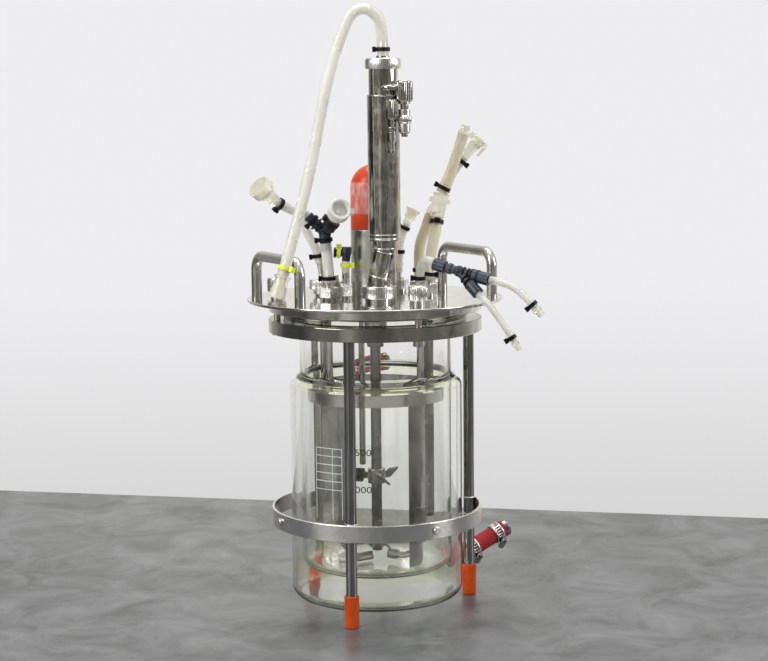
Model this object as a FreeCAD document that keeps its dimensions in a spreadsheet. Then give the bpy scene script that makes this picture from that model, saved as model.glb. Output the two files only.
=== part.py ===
"""Bench bioreactor: jacketed glass vessel on a three-leg stand, under a round head plate.

Row frame: origin on the bench under the vessel's axis, +Z up, handles on +X and -X.
Lengths are in millimetres, angles in degrees.
"""
import FreeCAD, Part
import math
import os
import Sketcher

doc = FreeCAD.newDocument("bench_bioreactor")

# ---------------------------------------------------------------------------------------------------------
# Driving dimensions
# ---------------------------------------------------------------------------------------------------------
DIMENSIONS = (
    # head plate
    ("plate_radius", 115.0), ("plate_top", 282.0), ("plate_thickness", 11.2), ("plate_rim", 2.5),
    ("plate_step_radius", 96.0), ("port_circle", 48.0), ("boss_radius", 6.5), ("boss_height", 6.0),
    ("port_hole_radius", 3.6), ("shaft_gap", 0.8),
    # glass
    ("vessel_bore", 65.0), ("glass_wall", 3.5), ("vessel_floor", 40.0), ("floor_round", 8.0),
    ("glass_flange_radius", 82.5), ("glass_flange_height", 5.0), ("seal_height", 1.8),
    ("jacket_radius", 77.8), ("jacket_wall", 3.0), ("jacket_base", 9.0), ("jacket_round", 10.0),
    ("shoulder_height", 206.0), ("shoulder_rise", 7.5),
    ("nipple_radius", 5.2), ("nipple_bore", 3.4), ("nipple_reach", 16.0),
    ("lower_nipple_azimuth", 0.0), ("lower_nipple_height", 27.0), ("lower_nipple_climb", 23.0),
    ("upper_nipple_azimuth", 75.0), ("upper_nipple_height", 188.0), ("upper_nipple_climb", 20.0),
    # fits: clearance on the radius, or a gap
    ("seat_fit", 0.05), ("slide_fit", 0.1), ("barb_fit", 0.15), ("boss_fit", 0.25), ("bolt_fit", 0.3),
    # clamp and stand
    ("clamp_radius", 96.0), ("clamp_height", 12.0), ("clamp_gap", 2.5), ("bolt_circle", 89.0),
    ("bolt_radius", 3.0), ("bolt_azimuth", 27.0), ("bolt_head_radius", 5.0), ("bolt_head_height", 5.2),
    ("nut_radius", 8.3), ("nut_height", 13.0), ("nut_neck_radius", 5.6), ("nut_neck_height", 4.5),
    ("leg_radius", 5.0), ("leg_azimuth", -12.6), ("leg_spigot", 3.0), ("foot_wall", 1.65),
    ("foot_height", 28.5), ("foot_sole", 3.0),
    ("ring_radius", 95.5), ("ring_wall", 2.0), ("ring_height", 15.0), ("ring_base", 77.0),
    ("ring_sweep", 256.0),
    ("ring_azimuth", 227.4), ("ring_screw_radius", 2.0),
    # handles
    ("handle_offset", 96.0), ("handle_span", 90.0), ("handle_rod", 4.75), ("handle_height", 38.5),
    ("handle_bend", 13.0),
    # stirrer drive
    ("housing_radius", 21.2), ("housing_step", 61.0), ("housing_height", 90.0), ("spigot_radius", 19.5),
    ("housing_bore", 11.1), ("cap_radius", 21.0), ("cap_wall", 1.2), ("cap_top", 119.0),
    ("bearing_radius", 11.0), ("bearing_height", 7.0), ("shaft_radius", 4.8), ("running_gap", 0.05),
    ("shaft_base", 49.3), ("shaft_reach", 87.3), ("gland_radius", 11.0), ("gland_length", 28.0),
    ("collar_radius", 7.7), ("collar_height", 5.4),
    ("drive_hub_radius", 9.0), ("drive_hub_height", 15.0), ("impeller_hub", 8.0),
    ("impeller_hub_height", 14.0),
    ("impeller_radius", 24.5), ("blade_width", 14.0), ("blade_sheet", 1.6), ("blade_pitch", 45.0),
    ("upper_impeller_base", 112.0), ("lower_impeller_base", 53.0),
    # inside the vessel
    ("cage_radius", 61.5), ("cage_sheet", 1.5), ("cage_ring_base", 190.5), ("cage_ring_height", 10.5),
    ("baffle_depth", 16.5), ("baffle_azimuth", 12.0), ("pipe_radius", 3.0), ("pipe_bore", 2.0),
    ("sparger_height", 45.0), ("sleeve_radius", 4.6), ("sleeve_length", 190.0),
    # condenser
    ("condenser_port_circle", 46.0), ("condenser_port_azimuth", 246.6), ("condenser_boss", 12.0),
    ("condenser_boss_height", 10.0), ("condenser_lean", 5.6), ("condenser_azimuth", -29.0),
    ("condenser_neck", 10.2), ("condenser_base", 54.0), ("condenser_radius", 14.15),
    ("condenser_length", 126.0),
    ("condenser_top_radius", 12.7), ("condenser_top_length", 27.0), ("union_radius", 15.2),
    ("union_height", 11.0),
    ("top_nut_radius", 15.4), ("top_nut_height", 9.5),
    ("outlet_azimuth", -60.0), ("outlet_offset", 21.3), ("outlet_body", 6.8), ("outlet_stem", 3.6),
    ("outlet_height", 174.0), ("inlet_azimuth", -95.0), ("inlet_offset", 19.0), ("inlet_body", 3.8),
    ("inlet_height", 160.0),
    # port fittings
    ("port_nut_flat", 7.5), ("port_nut_height", 8.5), ("port_flange", 6.2), ("barb_radius", 4.1),
    ("barb_bore", 2.2), ("wide_nut_radius", 11.3), ("wide_nut_height", 12.7), ("small_port_circle", 32.5),
    ("small_port_azimuth", 190.0), ("small_nut_flat", 5.3), ("small_nut_height", 10.4),
    # silicone hoses
    ("hose_radius", 4.9), ("slim_hose_radius", 4.0), ("sample_long_radius", 3.4),
    ("sample_short_radius", 2.9),
    ("tie_width", 3.4), ("tie_band", 1.3), ("tie_slack", 0.15),
    # jacket hoses
    ("jacket_hose_radius", 8.2), ("lower_hose_length", 59.0), ("band_width", 9.0), ("band_sheet", 0.8),
)

PORT_AZIMUTHS = {
    "addition": 143.6, "riser": 184.7, "elbow": 298.5, "twin_front": 332.0, "twin_rear": 2.8, "rear": 34.0,
    "spare_a": 78.0, "spare_b": 112.0,
}

sheet = doc.addObject("Spreadsheet::Sheet", "sizes")
for row, (alias,
          value) in enumerate(DIMENSIONS + tuple((f"port_{k}_azimuth", v) for k,
                                                 v in PORT_AZIMUTHS.items()), 1):
    sheet.set(f"A{row}", alias)
    sheet.set(f"B{row}", str(value))
    sheet.setAlias(f"B{row}", alias)
doc.recompute()


class Size:
    """A number together with the sheet expression that gives it."""

    def __init__(self, text, number):
        self.text = text
        self.number = number

    def joined(self, sign, other, number):
        return Size(f"({self.text} {sign} {other.text})", number)

    def __add__(self, other):
        other = as_size(other)
        return self.joined("+", other, self.number + other.number)

    def __sub__(self, other):
        other = as_size(other)
        return self.joined("-", other, self.number - other.number)

    def __mul__(self, other):
        other = as_size(other)
        return self.joined("*", other, self.number * other.number)

    def __truediv__(self, other):
        other = as_size(other)
        return self.joined("/", other, self.number / other.number)

    def __rsub__(self, other):
        return as_size(other) - self

    def __neg__(self):
        return Size(f"(-1 * {self.text})", -self.number)

    def __float__(self):
        return self.number

    __radd__ = __add__
    __rmul__ = __mul__


def as_size(thing):
    return thing if isinstance(thing, Size) else Size(repr(float(thing)), float(thing))


def cosine(angle):
    return Size(f"cos({angle.text})", math.cos(math.radians(angle.number)))


def sine(angle):
    return Size(f"sin({angle.text})", math.sin(math.radians(angle.number)))


class Sizes:
    def __getattr__(self, alias):
        return Size("sizes." + alias, float(sheet.get(alias)))


size = Sizes()
Vector = FreeCAD.Vector
UP = Vector(0, 0, 1)


# ---------------------------------------------------------------------------------------------------------
# Sketches and features
# ---------------------------------------------------------------------------------------------------------
def new_body(name):
    body = doc.addObject("PartDesign::Body", name)
    body.Label = name
    return body


def origin_feature(body, role):
    return next(item for item in body.Origin.OriginFeatures if item.Role == role)


def new_sketch(body, role, offset=None):
    sketch = body.newObject("Sketcher::SketchObject", "sketch")
    sketch.AttachmentSupport = [(origin_feature(body, role), "")]
    sketch.MapMode = "FlatFace"
    if offset is not None:
        sketch.AttachmentOffset = offset
    return sketch


def pin(sketch, kind, geometry, point, place):
    """Tie one coordinate of a point to the sheet; on an axis the point is held by the axis itself."""
    place = as_size(place)
    if abs(place.number) < 1e-9:
        axis = -2 if kind == "DistanceX" else -1
        sketch.addConstraint(Sketcher.Constraint("PointOnObject", geometry, point, axis))
        return
    if place.number > 0:
        index = sketch.addConstraint(Sketcher.Constraint(kind, -1, 1, geometry, point, place.number))
    else:
        place = -place
        index = sketch.addConstraint(Sketcher.Constraint(kind, geometry, point, -1, 1, place.number))
    sketch.setExpression(f"Constraints[{index}]", place.text)


def pin_point(sketch, geometry, point, corner):
    pin(sketch, "DistanceX", geometry, point, corner[0])
    pin(sketch, "DistanceY", geometry, point, corner[1])


def pin_radius(sketch, geometry, radius):
    radius = as_size(radius)
    index = sketch.addConstraint(Sketcher.Constraint("Radius", geometry, radius.number))
    sketch.setExpression(f"Constraints[{index}]", radius.text)


def outline_sketch(body, role, corners, closed=True, offset=None):
    """Straight lines between corners (across, up), or (across, up, radius) where the corner is rounded."""
    sketch = new_sketch(body, role, offset)
    points = [Vector(float(corner[0]), float(corner[1]), 0) for corner in corners]
    count = len(points)
    leave, arrive, arcs = list(points), list(points), [None] * count
    for i, corner in enumerate(corners):
        if len(corner) < 3:
            continue
        back = (points[i - 1] - points[i]).normalize()
        ahead = (points[(i + 1) % count] - points[i]).normalize()
        half = back.getAngle(ahead) / 2
        middle = (back + ahead).normalize()
        radius = float(corner[2])
        arrive[i] = points[i] + back * (radius / math.tan(half))
        leave[i] = points[i] + ahead * (radius / math.tan(half))
        crown = points[i] + middle * (radius / math.sin(half) - radius)
        turns_left = back.cross(ahead).z < 0
        arcs[i] = (arrive[i], crown, leave[i]) if turns_left else (leave[i], crown, arrive[i])
    runs = count if closed else count - 1
    lines = [sketch.addGeometry(Part.LineSegment(leave[i], arrive[(i + 1) % count]),
                                False) for i in range(runs)]
    if not closed:
        pin_point(sketch, lines[0], 1, corners[0])
        pin_point(sketch, lines[-1], 2, corners[-1])
    for i in range(count) if closed else range(1, count - 1):
        before, after = lines[i - 1], lines[i]
        if arcs[i] is None:
            sketch.addConstraint(Sketcher.Constraint("Coincident", before, 2, after, 1))
            pin_point(sketch, after, 1, corners[i])
            continue
        arc = sketch.addGeometry(Part.Arc(*arcs[i]), False)
        starts_here = (sketch.Geometry[arc].StartPoint - arrive[i]).Length < 1e-6
        sketch.addConstraint(Sketcher.Constraint("Tangent", before, 2, arc, 1 if starts_here else 2))
        sketch.addConstraint(Sketcher.Constraint("Tangent", after, 1, arc, 2 if starts_here else 1))
        pin_radius(sketch, arc, corners[i][2])
        corner = sketch.addGeometry(Part.Point(points[i]), True)
        sketch.addConstraint(Sketcher.Constraint("PointOnObject", corner, 1, before))
        sketch.addConstraint(Sketcher.Constraint("PointOnObject", corner, 1, after))
        pin_point(sketch, corner, 1, corners[i])
    return sketch


def circle_sketch(body, role, circles, offset=None):
    """Circles given as (across, up, radius)."""
    sketch = new_sketch(body, role, offset)
    for across, up, radius in circles:
        centre = Vector(float(across), float(up), 0)
        circle = sketch.addGeometry(Part.Circle(centre, UP, float(radius)), False)
        pin_point(sketch, circle, 3, (across, up))
        pin_radius(sketch, circle, radius)
    return sketch


def turn(body, outline, offset=None, sweep=360.0):
    """Material turned about the body's Z axis, or about the axis that an offset sketch carries."""
    sketch = outline_sketch(body, "XZ_Plane", outline, offset=offset)
    feature = body.newObject("PartDesign::Revolution", "turned")
    feature.Profile = sketch
    feature.ReferenceAxis = (sketch, ["V_Axis"])
    feature.Angle = float(sweep)
    if isinstance(sweep, Size):
        feature.Midplane = True
        feature.setExpression("Angle", sweep.text)
    return feature


def groove(body, outline, offset=None):
    """Material turned away about the same axis; the volume has to fall."""
    doc.recompute()
    before = body.Shape.Volume
    sketch = outline_sketch(body, "XZ_Plane", outline, offset=offset)
    feature = body.newObject("PartDesign::Groove", "bored")
    feature.Profile = sketch
    feature.ReferenceAxis = (sketch, ["V_Axis"])
    feature.Angle = 360.0
    doc.recompute()
    if body.Shape.Volume > before - 1e-6:
        raise RuntimeError(f"{body.Label}: a groove cut nothing")
    return feature


def pad(body, sketch, length, midplane=False, reverse=False):
    feature = body.newObject("PartDesign::Pad", "raised")
    feature.Profile = sketch
    feature.Length = float(length)
    feature.Midplane = midplane
    feature.Reversed = reverse
    feature.setExpression("Length", as_size(length).text)
    return feature


def cut_through(body, sketch):
    """A pocket right through the body along the sketch's normal; the volume has to fall."""
    doc.recompute()
    before = body.Shape.Volume
    feature = body.newObject("PartDesign::Pocket", "cut")
    feature.Profile = sketch
    feature.Type = "ThroughAll"
    feature.Midplane = True
    doc.recompute()
    if body.Shape.Volume > before - 1e-6:
        raise RuntimeError(f"{body.Label}: a cut removed nothing")
    return feature


def repeat_round(body, feature, count):
    """The feature repeated evenly about the body's Z axis."""
    pattern = body.newObject("PartDesign::PolarPattern", "repeated")
    pattern.Originals = [feature]
    pattern.Axis = (origin_feature(body, "Z_Axis"), [""])
    pattern.Angle = 360.0
    pattern.Occurrences = count
    body.Tip = pattern
    return pattern


def bent_rod(body, plane, route, radius, bore=None):
    """A round rod or tube bent along a route of (across, up, bend radius) that lies in one plane."""
    spine = outline_sketch(body, plane, route, closed=False)
    start, second = (Vector(float(point[0]), float(point[1]), 0) for point in route[:2])
    heading = {"XZ_Plane": lambda v: Vector(v.x, 0, v.y), "YZ_Plane": lambda v: Vector(0, v.x, v.y),
               "XY_Plane": lambda v: v}[plane]
    offset = FreeCAD.Placement(heading(start), FreeCAD.Rotation(UP, heading(second - start)))
    for kind, ring in (("PartDesign::AdditivePipe", radius), ("PartDesign::SubtractivePipe", bore)):
        if ring is None:
            continue
        section = circle_sketch(body, "XY_Plane", [(0, 0, ring)], offset)
        doc.recompute()
        feature = body.newObject(kind, "bent")
        feature.Profile = section
        feature.Spine = (spine, [f"Edge{i + 1}" for i in range(len(spine.Shape.Edges))])
    doc.recompute()


def turned(name, outline):
    body = new_body(name)
    turn(body, outline)
    return body


# ---------------------------------------------------------------------------------------------------------
# Places
# ---------------------------------------------------------------------------------------------------------
def around(radius, azimuth):
    """Point on a circle about the vessel's axis, as two sizes."""
    return radius * cosine(azimuth), radius * sine(azimuth)


def stand(item, across=0, away=0, height=0, azimuth=0.0, lean=0.0):
    """Stand an object at a point: leaned from +Z towards its own +X, then turned about Z by its azimuth."""
    place = [as_size(value) for value in (across, away, height)]
    spin = FreeCAD.Rotation(UP, float(azimuth)) * FreeCAD.Rotation(Vector(0, 1, 0), float(lean))
    item.Placement = FreeCAD.Placement(Vector(*[value.number for value in place]), spin)
    for letter, value in zip("xyz", place):
        item.setExpression(f"Placement.Base.{letter}", value.text)
    return item


def aim(item, start, end):
    """Lay an object's own Z axis along the line from start to end, its origin at start."""
    heading = Vector(*end) - Vector(*start)
    item.Placement = FreeCAD.Placement(Vector(*start), FreeCAD.Rotation(UP, heading))
    return item


def along(start, end, distance):
    """The point that lies this far from start towards end."""
    heading = (Vector(*end) - Vector(*start)).normalize()
    return tuple(Vector(*start) + heading * float(distance))


def copy_of(body):
    link = doc.addObject("App::Link", body.Label + "_copy")
    link.LinkedObject = body
    return link


def group(name, members):
    compound = doc.addObject("Part::Compound", name)
    compound.Label = name
    compound.Links = members
    return compound


NODES = []


def keep(node):
    NODES.append(node)
    return node


plate_base = size.plate_top - size.plate_thickness
flange_top = plate_base - size.seal_height
clamp_top = flange_top - size.glass_flange_height
clamp_base = clamp_top - size.clamp_height
neck_radius = size.vessel_bore + size.glass_wall
port_at = {name: around(size.port_circle, getattr(size, f"port_{name}_azimuth")) for name in PORT_AZIMUTHS}
condenser_port = around(size.condenser_port_circle, size.condenser_port_azimuth)
small_port = around(size.small_port_circle, size.small_port_azimuth)

# ---------------------------------------------------------------------------------------------------------
# Jacketed glass vessel: inner vessel, jacket, shoulder, flange and two hose nipples, blown as one piece
# ---------------------------------------------------------------------------------------------------------
vessel = keep(new_body("jacketed_vessel"))
turn(vessel, [
    (0, size.jacket_base),
    (size.jacket_radius, size.jacket_base, size.jacket_round),
    (size.jacket_radius, size.shoulder_height, 9.0),
    (neck_radius, size.shoulder_height + size.shoulder_rise, 5.0),
    (neck_radius, clamp_top, 2.0),
    (size.glass_flange_radius, clamp_top),
    (size.glass_flange_radius, flange_top, 1.0),
    (0, flange_top),
])


def nipple_frame(azimuth, height, climb):
    """Sketch offset whose upright axis runs out of the jacket wall at this azimuth, height and climb."""
    out = Vector(math.cos(math.radians(azimuth)), math.sin(math.radians(azimuth)), 0)
    heading = out * math.cos(math.radians(climb)) + UP * math.sin(math.radians(climb))
    side = UP.cross(out)
    wall = float(size.jacket_radius) - float(size.jacket_wall) / 2
    frame = FreeCAD.Placement(out * wall + UP * height,
                              FreeCAD.Rotation(side, heading, side.cross(heading), "XYZ"))
    upright = FreeCAD.Placement(Vector(0, 0, 0), FreeCAD.Rotation(Vector(1, 0, 0), 90))
    return upright.inverse() * frame


lower_nipple = nipple_frame(float(size.lower_nipple_azimuth), float(size.lower_nipple_height),
                            float(size.lower_nipple_climb))
upper_nipple = nipple_frame(float(size.upper_nipple_azimuth), float(size.upper_nipple_height),
                            float(size.upper_nipple_climb))
for frame in (lower_nipple, upper_nipple):
    turn(vessel, [
        (0, 0), (size.nipple_radius + 1.2, 0), (size.nipple_radius, 4.0), (size.nipple_radius, 7.0),
        (size.nipple_radius + 0.9, 9.0), (size.nipple_radius, 12.5),
        (size.nipple_radius, size.nipple_reach),
        (0, size.nipple_reach),
    ], offset=frame)
groove(vessel, [
    (0, size.vessel_floor),
    (size.vessel_bore, size.vessel_floor, size.floor_round),
    (size.vessel_bore, flange_top + 1.0),
    (0, flange_top + 1.0),
])
jacket_bore = size.jacket_radius - size.jacket_wall
groove(vessel, [
    (0, size.jacket_base + size.glass_wall),
    (jacket_bore, size.jacket_base + size.glass_wall, size.jacket_round - size.jacket_wall),
    (jacket_bore, size.shoulder_height - 3.0, 4.5),
    (neck_radius, size.shoulder_height + 1.5),
    (neck_radius, size.vessel_floor - size.glass_wall, size.floor_round + size.glass_wall),
    (0, size.vessel_floor - size.glass_wall),
])
for frame in (lower_nipple, upper_nipple):
    groove(vessel, [(0, -4.0), (size.nipple_bore, -4.0), (size.nipple_bore, size.nipple_reach + 1.0),
                    (0, size.nipple_reach + 1.0)], offset=frame)

keep(turned("vessel_seal", [
    (size.vessel_bore + 1.0, flange_top), (size.glass_flange_radius - 1.5, flange_top),
    (size.glass_flange_radius - 1.5, plate_base), (size.vessel_bore + 1.0, plate_base),
]))

# ---------------------------------------------------------------------------------------------------------
# Head plate: turned disc with a thin rim, port bosses and holes
# ---------------------------------------------------------------------------------------------------------
plate = keep(new_body("head_plate"))
turn(plate, [
    (0, plate_base), (size.plate_step_radius, plate_base, 0.8),
    (size.plate_step_radius, size.plate_top - size.plate_rim),
    (size.plate_radius, size.plate_top - size.plate_rim, 0.8), (size.plate_radius, size.plate_top, 0.8),
    (0, size.plate_top),
])
top_face = FreeCAD.Placement(Vector(0, 0, float(size.plate_top)), FreeCAD.Rotation())
pad(plate,
    circle_sketch(plate, "XY_Plane", [(x, y, size.boss_radius) for x, y in port_at.values()], top_face),
    size.boss_height)
pad(plate, circle_sketch(plate, "XY_Plane", [(*condenser_port, size.condenser_boss)], top_face),
    size.condenser_boss_height)
pad(plate, circle_sketch(plate, "XY_Plane", [(*small_port, 4.0)], top_face), 3.0)
holes = [(x, y, size.port_hole_radius) for x, y in port_at.values()]
holes += [(*condenser_port, 8.0), (*small_port, 2.0), (0, 0, (size.shaft_radius + size.shaft_gap))]
for turn_count in range(3):
    holes.append((*around(size.bolt_circle, size.bolt_azimuth + 120 * turn_count),
                  size.bolt_radius + size.bolt_fit))
cut_through(plate, circle_sketch(plate, "XY_Plane", holes))

# ---------------------------------------------------------------------------------------------------------
# Clamp ring under the glass flange, with its bolts and knurled nuts
# ---------------------------------------------------------------------------------------------------------
clamp = keep(new_body("clamp_ring"))
clamp_bore = neck_radius + size.clamp_gap
turn(clamp,
     [(clamp_bore, clamp_base), (size.clamp_radius, clamp_base, 0.8), (size.clamp_radius, clamp_top, 0.8),
             (clamp_bore, clamp_top)])
leg_circle = size.ring_radius - size.ring_wall - size.leg_radius - size.slide_fit
clamp_holes = []
for turn_count in range(3):
    clamp_holes.append((*around(size.bolt_circle, size.bolt_azimuth + 120 * turn_count),
                        size.bolt_radius + size.bolt_fit))
    clamp_holes.append((*around(leg_circle, size.leg_azimuth + 120 * turn_count),
                        size.leg_spigot + size.seat_fit))
cut_through(clamp, circle_sketch(clamp, "XY_Plane", clamp_holes))

bolt_top = size.plate_top + size.nut_neck_height + size.nut_height - 3.0
bolt = turned("clamp_bolt", [
    (0, clamp_base - size.bolt_head_height),
    (size.bolt_head_radius, clamp_base - size.bolt_head_height, 0.6),
    (size.bolt_head_radius, clamp_base), (size.bolt_radius, clamp_base), (size.bolt_radius, bolt_top),
    (0, bolt_top),
])
clamp_nut = turned("clamp_nut", [
    (size.bolt_radius + size.running_gap, size.plate_top), (size.nut_neck_radius, size.plate_top),
    (size.nut_neck_radius, size.plate_top + size.nut_neck_height),
    (size.nut_radius, size.plate_top + size.nut_neck_height, 0.9),
    (size.nut_radius, size.plate_top + size.nut_neck_height + size.nut_height, 1.6),
    (0, size.plate_top + size.nut_neck_height + size.nut_height), (0, bolt_top + 0.2),
    (size.bolt_radius + size.running_gap, bolt_top + 0.2),
])
for name, part in (("clamp_bolts", bolt), ("clamp_nuts", clamp_nut)):
    members = []
    for turn_count in range(3):
        x, y = around(size.bolt_circle, size.bolt_azimuth + 120 * turn_count)
        members.append(stand(copy_of(part), x, y))
    keep(group(name, members))

# ---------------------------------------------------------------------------------------------------------
# Stand: three legs with soft foot caps, and a support ring that is open at the back
# ---------------------------------------------------------------------------------------------------------
LEG_NAMES = ("leg_right", "leg_rear", "leg_front")
leg_base = size.foot_sole + 0.2
for turn_count, name in enumerate(LEG_NAMES):
    leg = turned(name, [
        (0, leg_base), (size.leg_radius, leg_base, 0.8), (size.leg_radius, clamp_base),
        (size.leg_spigot, clamp_base),
        (size.leg_spigot, clamp_top - 1.0), (0, clamp_top - 1.0),
    ])
    keep(stand(leg, *around(leg_circle, size.leg_azimuth + 120 * turn_count)))
foot = turned("foot_cap", [
    (0, 0), ((size.leg_radius + size.foot_wall) - 0.5, 0, 0.8),
    ((size.leg_radius + size.foot_wall), size.foot_height, 0.6),
    (size.leg_radius + size.slide_fit, size.foot_height),
    (size.leg_radius + size.slide_fit, size.foot_sole), (0, size.foot_sole),
])
keep(group("foot_caps", [stand(copy_of(foot), *around(leg_circle, size.leg_azimuth + 120 * turn_count))
                         for turn_count in range(3)]))

ring = keep(new_body("support_ring"))
turn(ring, [
    (size.ring_radius - size.ring_wall, size.ring_base), (size.ring_radius, size.ring_base, 0.6),
    (size.ring_radius, size.ring_base + size.ring_height, 0.6),
    (size.ring_radius - size.ring_wall, size.ring_base + size.ring_height),
], sweep=size.ring_sweep)
SCREW_AZIMUTHS = (178.0, 275.0)
screw_height = size.ring_base + size.ring_height / 2
for azimuth in SCREW_AZIMUTHS:
    spin = FreeCAD.Rotation(UP, azimuth - float(size.ring_azimuth))
    hole = FreeCAD.Placement(spin.multVec(Vector(80.0, 0, float(screw_height))),
                             spin * FreeCAD.Rotation(Vector(0, 1, 0), 90))
    doc.recompute()
    before = ring.Shape.Volume
    pocket = ring.newObject("PartDesign::Pocket", "screw_hole")
    pocket.Profile = circle_sketch(ring, "XY_Plane", [(0, 0, size.ring_screw_radius + size.slide_fit)],
                                   hole)
    pocket.Length = 30.0
    pocket.Reversed = True
    doc.recompute()
    if ring.Shape.Volume > before - 1e-6:
        raise RuntimeError("a screw hole in the support ring cut nothing")
stand(ring, azimuth=size.ring_azimuth.number)

ring_screw = turned("ring_screw", [
    (0, -3.0), (3.4, -3.0), (3.4, 0), (size.ring_screw_radius, 0),
    (size.ring_screw_radius, size.ring_wall + 2 * size.slide_fit),
    (3.6, size.ring_wall + 2 * size.slide_fit), (3.6, size.ring_wall + 2.4, 0.9), (0, size.ring_wall + 2.4),
])
screws = []
for azimuth in SCREW_AZIMUTHS:
    x, y = around(size.ring_radius - size.ring_wall - size.slide_fit, as_size(azimuth))
    screws.append(stand(copy_of(ring_screw), x, y, screw_height, azimuth, 90.0))
keep(group("ring_screws", screws))

# ---------------------------------------------------------------------------------------------------------
# Handles: bent rods standing on the head plate's rim
# ---------------------------------------------------------------------------------------------------------
for name, side in (("handle_right", 1), ("handle_left", -1)):
    handle = keep(new_body(name))
    half = size.handle_span / 2
    bent_rod(handle, "YZ_Plane", [
        (-half, 0), (-half, size.handle_height, size.handle_bend),
        (half, size.handle_height, size.handle_bend),
        (half, 0),
    ], size.handle_rod)
    stand(handle, size.handle_offset * side, 0, size.plate_top)

# ---------------------------------------------------------------------------------------------------------
# Stirrer drive: housing on the plate, dome cap, bearings, gland, shaft, drive hub and impellers
# ---------------------------------------------------------------------------------------------------------
housing = keep(turned("drive_housing", [
    (size.housing_bore, 0), (size.housing_radius, 0), (size.housing_radius, size.housing_step, 0.6),
    (size.spigot_radius, size.housing_step), (size.spigot_radius, size.housing_height, 0.8),
    (size.housing_bore, size.housing_height),
]))
stand(housing, height=size.plate_top)
cap = keep(turned("drive_cap", [
    (size.cap_radius - size.cap_wall, size.housing_step + size.bolt_fit),
    (size.cap_radius, size.housing_step + size.bolt_fit, 0.4),
    (size.cap_radius, size.cap_top, size.cap_radius - 0.1), (0, size.cap_top),
    (0, size.cap_top - size.cap_wall),
    (size.cap_radius - size.cap_wall, size.cap_top - size.cap_wall, size.cap_radius - size.cap_wall - 0.1),
]))
stand(cap, height=size.plate_top)

shaft_slot = size.shaft_radius + size.running_gap
bearing = turned("shaft_bearing", [
    (shaft_slot, 0), (size.bearing_radius, 0, 0.5), (size.bearing_radius, size.bearing_height, 0.5),
    (shaft_slot, size.bearing_height),
])
upper_bearing = size.housing_height - size.drive_hub_height - size.bearing_height - 3.0
keep(group("shaft_bearings",
           [stand(copy_of(bearing), height=size.plate_top + lift) for lift in (0.0, upper_bearing)]))
gland = keep(turned("shaft_gland", [
    (shaft_slot, 0), (size.gland_radius - 2.0, 0, 1.0), (size.gland_radius, 6.0),
    (size.gland_radius, size.gland_length), (shaft_slot, size.gland_length),
]))
stand(gland, height=plate_base - size.gland_length)

collar_base = plate_base - size.gland_length - size.collar_height - 0.4 - size.shaft_base
shaft = keep(turned("stirrer_shaft", [
    (0, 0), (size.shaft_radius, 0, 0.6), (size.shaft_radius, collar_base),
    (size.collar_radius, collar_base, 0.8),
    (size.collar_radius, collar_base + size.collar_height, 0.8),
    (size.shaft_radius, collar_base + size.collar_height),
    (size.shaft_radius, (size.plate_top + size.shaft_reach - size.shaft_base), 0.6),
    (0, (size.plate_top + size.shaft_reach - size.shaft_base)),
]))
stand(shaft, height=size.shaft_base)
hub = keep(turned("drive_hub", [
    (shaft_slot, 0), (size.drive_hub_radius, 0, 0.8), (size.drive_hub_radius, size.drive_hub_height, 0.8),
    (shaft_slot, size.drive_hub_height),
]))
stand(hub, height=size.plate_top + upper_bearing + size.bearing_height + 0.6)

for name, base in (("upper_impeller", size.upper_impeller_base),
                   ("lower_impeller", size.lower_impeller_base)):
    impeller = keep(new_body(name))
    turn(impeller, [
        (shaft_slot, 0), (size.impeller_hub, 0, 0.8), (size.impeller_hub, size.impeller_hub_height, 0.8),
        (shaft_slot, size.impeller_hub_height),
    ])
    pitched = FreeCAD.Placement(Vector(0, float(size.impeller_hub_height) / 2, 0),
                                FreeCAD.Rotation(Vector(1, 0, 0), float(size.blade_pitch)))
    half = size.blade_width / 2
    blade = outline_sketch(impeller, "XZ_Plane", [
        (size.impeller_hub - 1.0, -half * 0.45), (size.impeller_hub + 3.0, -half * 0.45),
        (size.impeller_hub + 4.0, -half, 1.0), (size.impeller_radius, -half, 1.2),
        (size.impeller_radius, half, 1.2),
        (size.impeller_hub + 4.0, half, 1.0), (size.impeller_hub + 3.0, half * 0.45),
        (size.impeller_hub - 1.0, half * 0.45),
    ], offset=pitched)
    repeat_round(impeller, pad(impeller, blade, size.blade_sheet, midplane=True), 3)
    stand(impeller, height=base, azimuth=20.0)

# ---------------------------------------------------------------------------------------------------------
# Inside the vessel: baffle cage, sparger, harvest pipe, sensor sleeve and dip pipes
# ---------------------------------------------------------------------------------------------------------
cage = keep(new_body("baffle_cage"))
cage_top = size.cage_ring_base + size.cage_ring_height
turn(cage,
     [(size.cage_radius - size.cage_sheet, size.cage_ring_base), (size.cage_radius, size.cage_ring_base),
            (size.cage_radius, cage_top), (size.cage_radius - size.cage_sheet, cage_top)])
inner_edge = size.cage_radius - size.baffle_depth
baffle = outline_sketch(cage, "XZ_Plane", [
    (inner_edge, size.vessel_floor + 0.3), (inner_edge + 3.0, size.vessel_floor + 0.3),
    (size.cage_radius - 2.5, size.vessel_floor + 7.5), (size.cage_radius - 0.3, size.vessel_floor + 14.0),
    (size.cage_radius - 0.3, cage_top - 0.5), (inner_edge, cage_top - 0.5),
])
repeat_round(cage, pad(cage, baffle, size.cage_sheet, midplane=True), 4)
stand(cage, azimuth=size.baffle_azimuth.number)

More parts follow.
